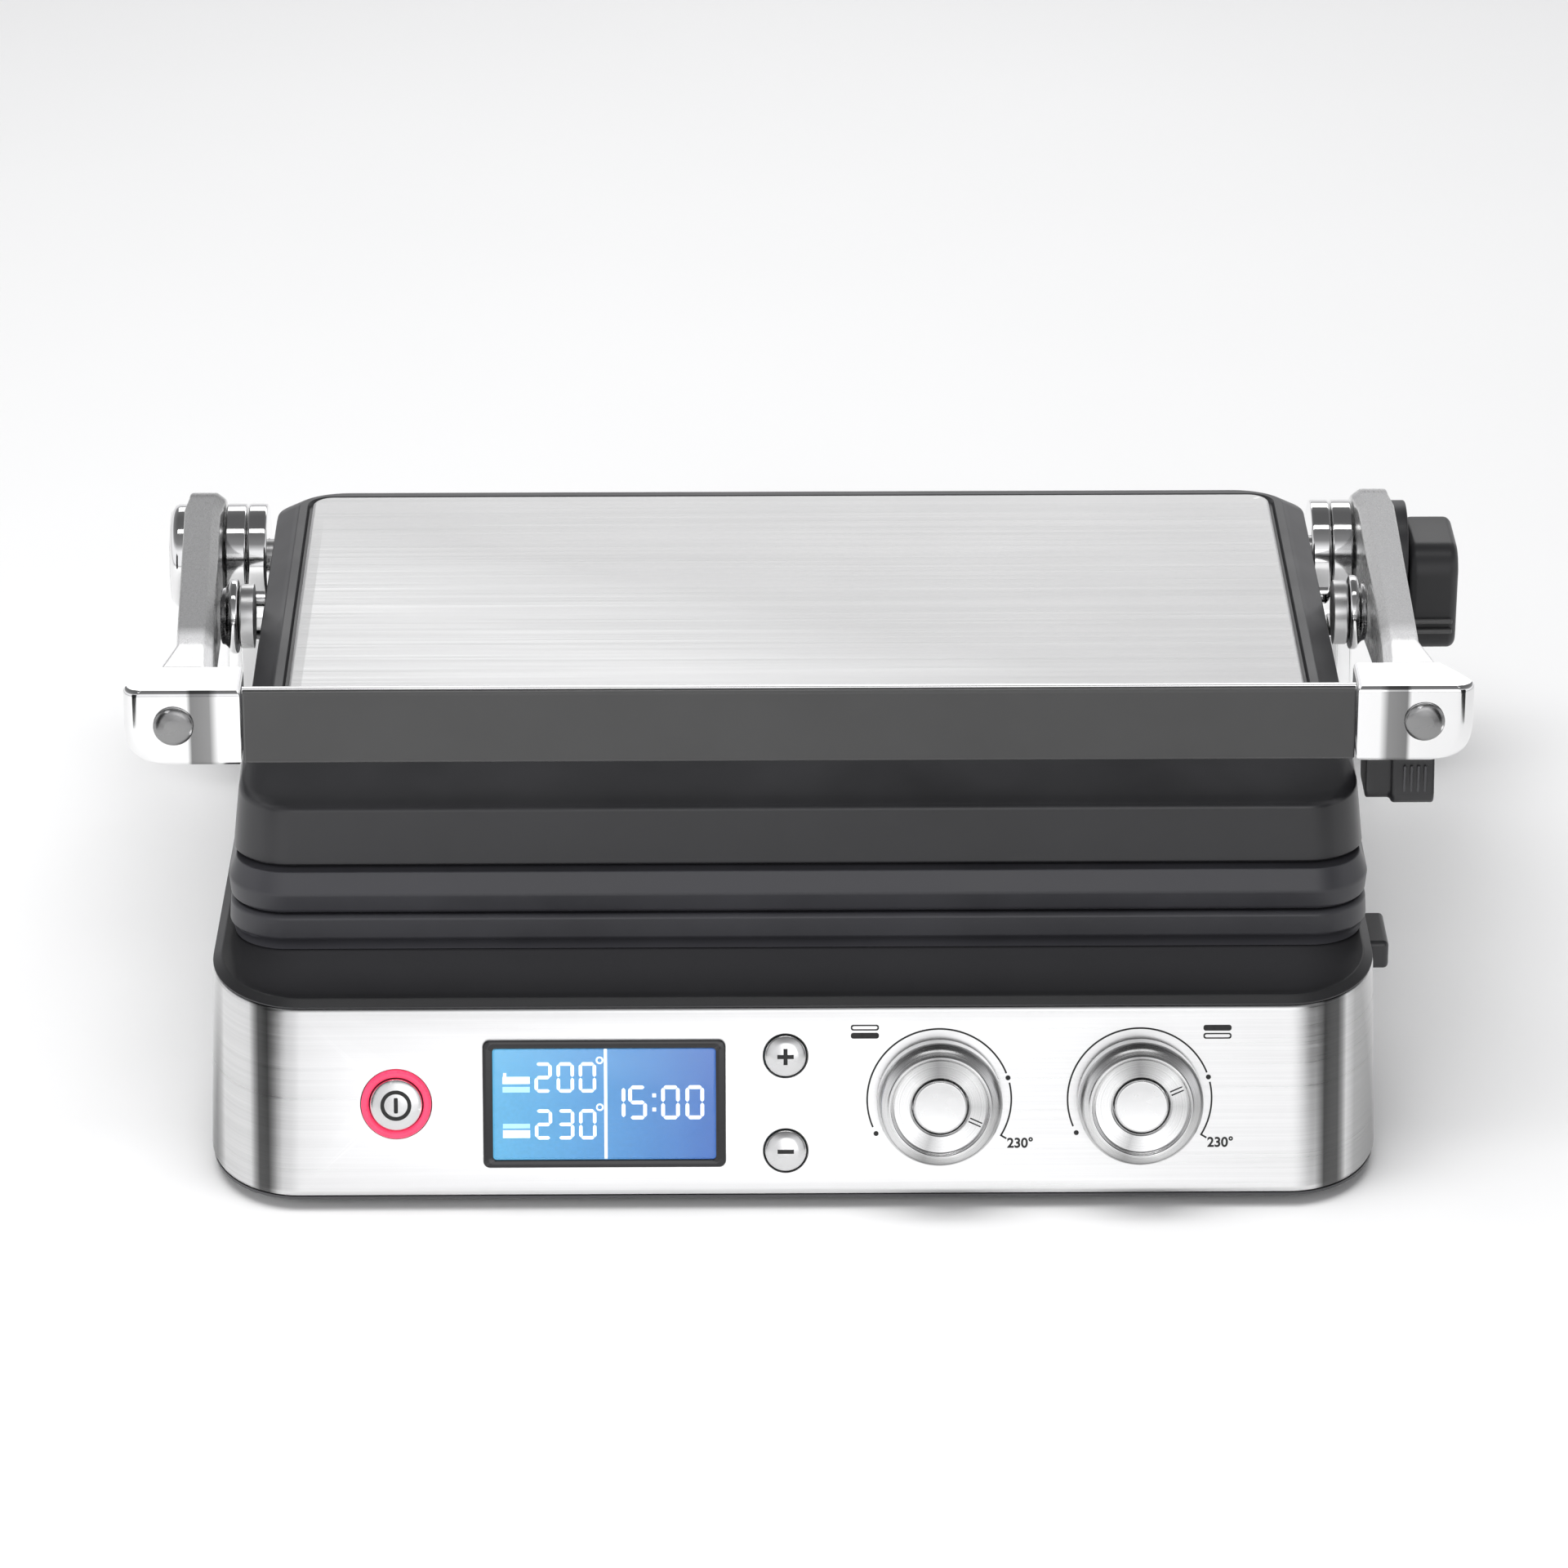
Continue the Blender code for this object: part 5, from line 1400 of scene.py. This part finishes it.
def make_lid_housing():
    low, high = spot("lid_housing")
    top, bottom = high.z, low.z
    wall, cover = 0.0028, 0.0018
    levels = [
        (0.1672, 0.1024, 0.2977, 0.0078, top - cover + 0.0004, top - cover + 0.0004),
        (0.1680, 0.1016, 0.2985, 0.0085, top, top),
        (0.1708, 0.0965, 0.3020, 0.0120, top - 0.0002, top - 0.0002),
        (0.1722, 0.0925, 0.3050, 0.0140, top - 0.0012, top - 0.0018),
        (0.1786, 0.0625, 0.3100, 0.0170, 0.1215, 0.1152),
        (0.1793, 0.0586, 0.3122, 0.0180, 0.1180, 0.1134),
        (0.1815, 0.0580, 0.3140, 0.0190, bottom + 0.0006, bottom + 0.0006),
        (0.1809, 0.0586, 0.3134, 0.0186, bottom, bottom),
        (0.1815 - wall, 0.0580 + wall, 0.3140 - wall, 0.0165, bottom, bottom),
        (0.1793 - wall, 0.0585 + wall, 0.3122 - wall, 0.0155, 0.1172, 0.1108),
        (0.1690, 0.1000, 0.2980, 0.0090, top - cover - wall + 0.0008, top - cover - wall + 0.0008),
    ]
    reach = [0, 0.0003, 0.0008, 0.0016, 0.0012, 0.0016, 0.0004, 0.0004, 0, 0, 0]
    rings = [lid_ring(*level) for level in softened(levels, reach, 5)]
    stand_in("lid_housing", ring_mesh("lid_housing", rings), "lid", "lid_plastic", sharp=34.0)


def make_lid_cover():
    low, high = spot("lid_cover")

    def ring(z, inset):
        return plan_ring(low, high, z, inset, 0.007 - inset)

    levels = [(low.z, 0.0), (high.z - 0.0005, 0.0), (high.z, 0.0008), (high.z, 0.004)]
    levels = softened(levels, [0, 0.0004, 0.0005, 0], 4)
    mesh = ring_mesh("lid_cover", [ring(*level) for level in levels])
    stand_in("lid_cover", mesh, "lid", "brushed_cover", "brushed_steel", sharp=30.0)


# ---- CAD nodes that stay as they are ----
HIDDEN_FINISHES = {
    "lower_heater": "heater_steel",
    "upper_heater": "heater_steel",
    "lower_reflector": "sheet_steel",
    "upper_reflector": "sheet_steel",
    "lower_thermostat": "sheet_steel",
    "upper_thermostat": "sheet_steel",
    "control_board": "board_green",
    "encoder_left": "black_plastic",
    "encoder_right": "black_plastic",
    "knob_shaft_left": "sheet_steel",
    "knob_shaft_right": "sheet_steel",
}


def finish_hidden_nodes():
    for node, material in HIDDEN_FINISHES.items():
        obj = frame["nodes"][node]
        if not obj.material_slots:
            obj.data.materials.append(MATERIALS[material])
        for material_slot in obj.material_slots:
            material_slot.material = MATERIALS[material]


# ---- Studio ----
def card(name, corners, material):
    """A flat four-sided surface of the studio."""
    mesh = bpy.data.meshes.new(name)
    mesh.from_pydata(corners, [], [(0, 1, 2, 3)])
    mesh.materials.append(material)
    obj = bpy.data.objects.new(name, mesh)
    bpy.context.scene.collection.objects.link(obj)
    return obj


def make_floor():
    corners = at_height(bar(0.0, 0.0, 12.0, 12.0), 0.0)
    floor = card("floor", corners, MATERIALS["pale_floor"])


def make_flags():
    """Two dark cards beside the front corners, seen only in reflections."""
    made = Finish("flag_black", grey(0.01), 0.9)
    made.paint(made.colours(made.clouds(20.0), (0.3, grey(0.008)), (0.7, grey(0.014))))
    half, height = 0.10, 0.34
    corners = [(-half, 0, 0), (half, 0, 0), (half, 0, height), (-half, 0, height)]
    for side, name in SIDES:
        flag = card(f"flag_{name}", corners, made.material)
        flag.location = (ORIGIN.x + side * 0.42, ORIGIN.y - 0.22, 0.002)
        flag.rotation_euler = (0.0, 0.0, side * math.radians(49.0))
        flag.visible_camera = False
        flag.visible_diffuse = False
        flag.visible_shadow = False
        flag.visible_transmission = False


def area_light(name, location, target, size, power, size_y=None):
    light = bpy.data.lights.new(name, "AREA")
    light.energy = power
    light.shape = "RECTANGLE"
    light.size = size
    light.size_y = size_y or size
    obj = bpy.data.objects.new(name, light)
    bpy.context.scene.collection.objects.link(obj)
    obj.location = location
    obj.rotation_euler = (Vector(target) - Vector(location)).to_track_quat("-Z", "Y").to_euler()
    obj.visible_camera = False
    return obj


# The surroundings' brightness at rising heights.
WORLD_LEVELS = ((0.0, 1.0), (0.30, 1.0), (0.42, 0.60), (0.55, 0.26), (1.0, 0.12))


def make_lights():
    overhead = area_light("overhead", (-0.2, -0.2, 1.7), (0.0, 0.0, 0.0), 1.6, 26.0)
    overhead.visible_glossy = False
    area_light("strip", (0.0, -0.15, 1.6), (0.0, 0.0, 0.1), 1.2, 2.4, 0.25)
    area_light("front", (0.25, -1.9, 0.55), (0.0, 0.0, 0.05), 1.0, 3.0)
    area_light("back", (0.1, 1.3, 0.75), (0.0, 0.0, 0.1), 1.2, 2.6, 0.5)
    near = area_light("near_left", (-0.7, -0.75, 0.25), (-0.1, -0.15, 0.12), 0.5, 2.5)
    near.visible_glossy = False
    make_world()


def make_world():
    """A white floor level all round, falling off to a dark ceiling."""
    world = bpy.data.worlds.new("studio")
    bpy.context.scene.world = world
    world.use_nodes = True
    nodes, links = world.node_tree.nodes, world.node_tree.links
    background = nodes["Background"]
    source = nodes.new("ShaderNodeTexCoord")
    parts = nodes.new("ShaderNodeSeparateXYZ")
    lean = nodes.new("ShaderNodeMath")
    lean.operation = "MULTIPLY_ADD"
    lean.inputs[1].default_value = 0.25
    ramp = nodes.new("ShaderNodeValToRGB")
    elements = ramp.color_ramp.elements
    while len(elements) < len(WORLD_LEVELS):
        elements.new(0.5)
    for element, (position, level) in zip(elements, WORLD_LEVELS):
        element.position = position
        element.color = (level, level, level * 1.02, 1.0)
    links.new(source.outputs["Generated"], parts.inputs["Vector"])
    links.new(parts.outputs["Y"], lean.inputs[0])
    links.new(parts.outputs["Z"], lean.inputs[2])
    links.new(lean.outputs["Value"], ramp.inputs["Fac"])
    links.new(ramp.outputs["Color"], background.inputs["Color"])
    background.inputs["Strength"].default_value = 1.0


def make_camera():
    data = bpy.data.cameras.new("camera")
    data.lens = 162.93
    data.sensor_width = 36.0
    camera = bpy.data.objects.new("camera", data)
    bpy.context.scene.collection.objects.link(camera)
    camera.location = (-0.03365, -2.1953, 1.0265)
    camera.rotation_euler = (math.radians(66.36), 0.0, math.radians(-0.56))
    bpy.context.scene.camera = camera
    bpy.context.scene.view_settings.view_transform = "Standard"


def make_base():
    make_base_pan()
    make_feet()
    make_base_shell()
    make_top_deck()
    make_plate_frames()
    make_plate("lower_plate", "base", 1)
    make_plate_release()
    make_drip_tray()
    make_cord_gland()


def make_controls():
    make_display()
    make_power_button()
    make_step_buttons()
    make_knobs()
    make_icons()


def make_arm_group():
    make_towers()
    make_hinge_shaft()
    make_hinge_ends()
    make_release_lever()
    make_arms()
    make_handle_grip()
    make_handle_bar()
    make_handle_ends()
    make_pivot_drums()


def make_lid():
    make_plate("upper_plate", "lid", -1)
    make_lid_housing()
    make_lid_cover()
    make_height_lever()


make_materials()
make_camera()
make_base()
make_controls()
make_arm_group()
make_lid()
finish_hidden_nodes()
make_floor()
make_flags()
make_lights()
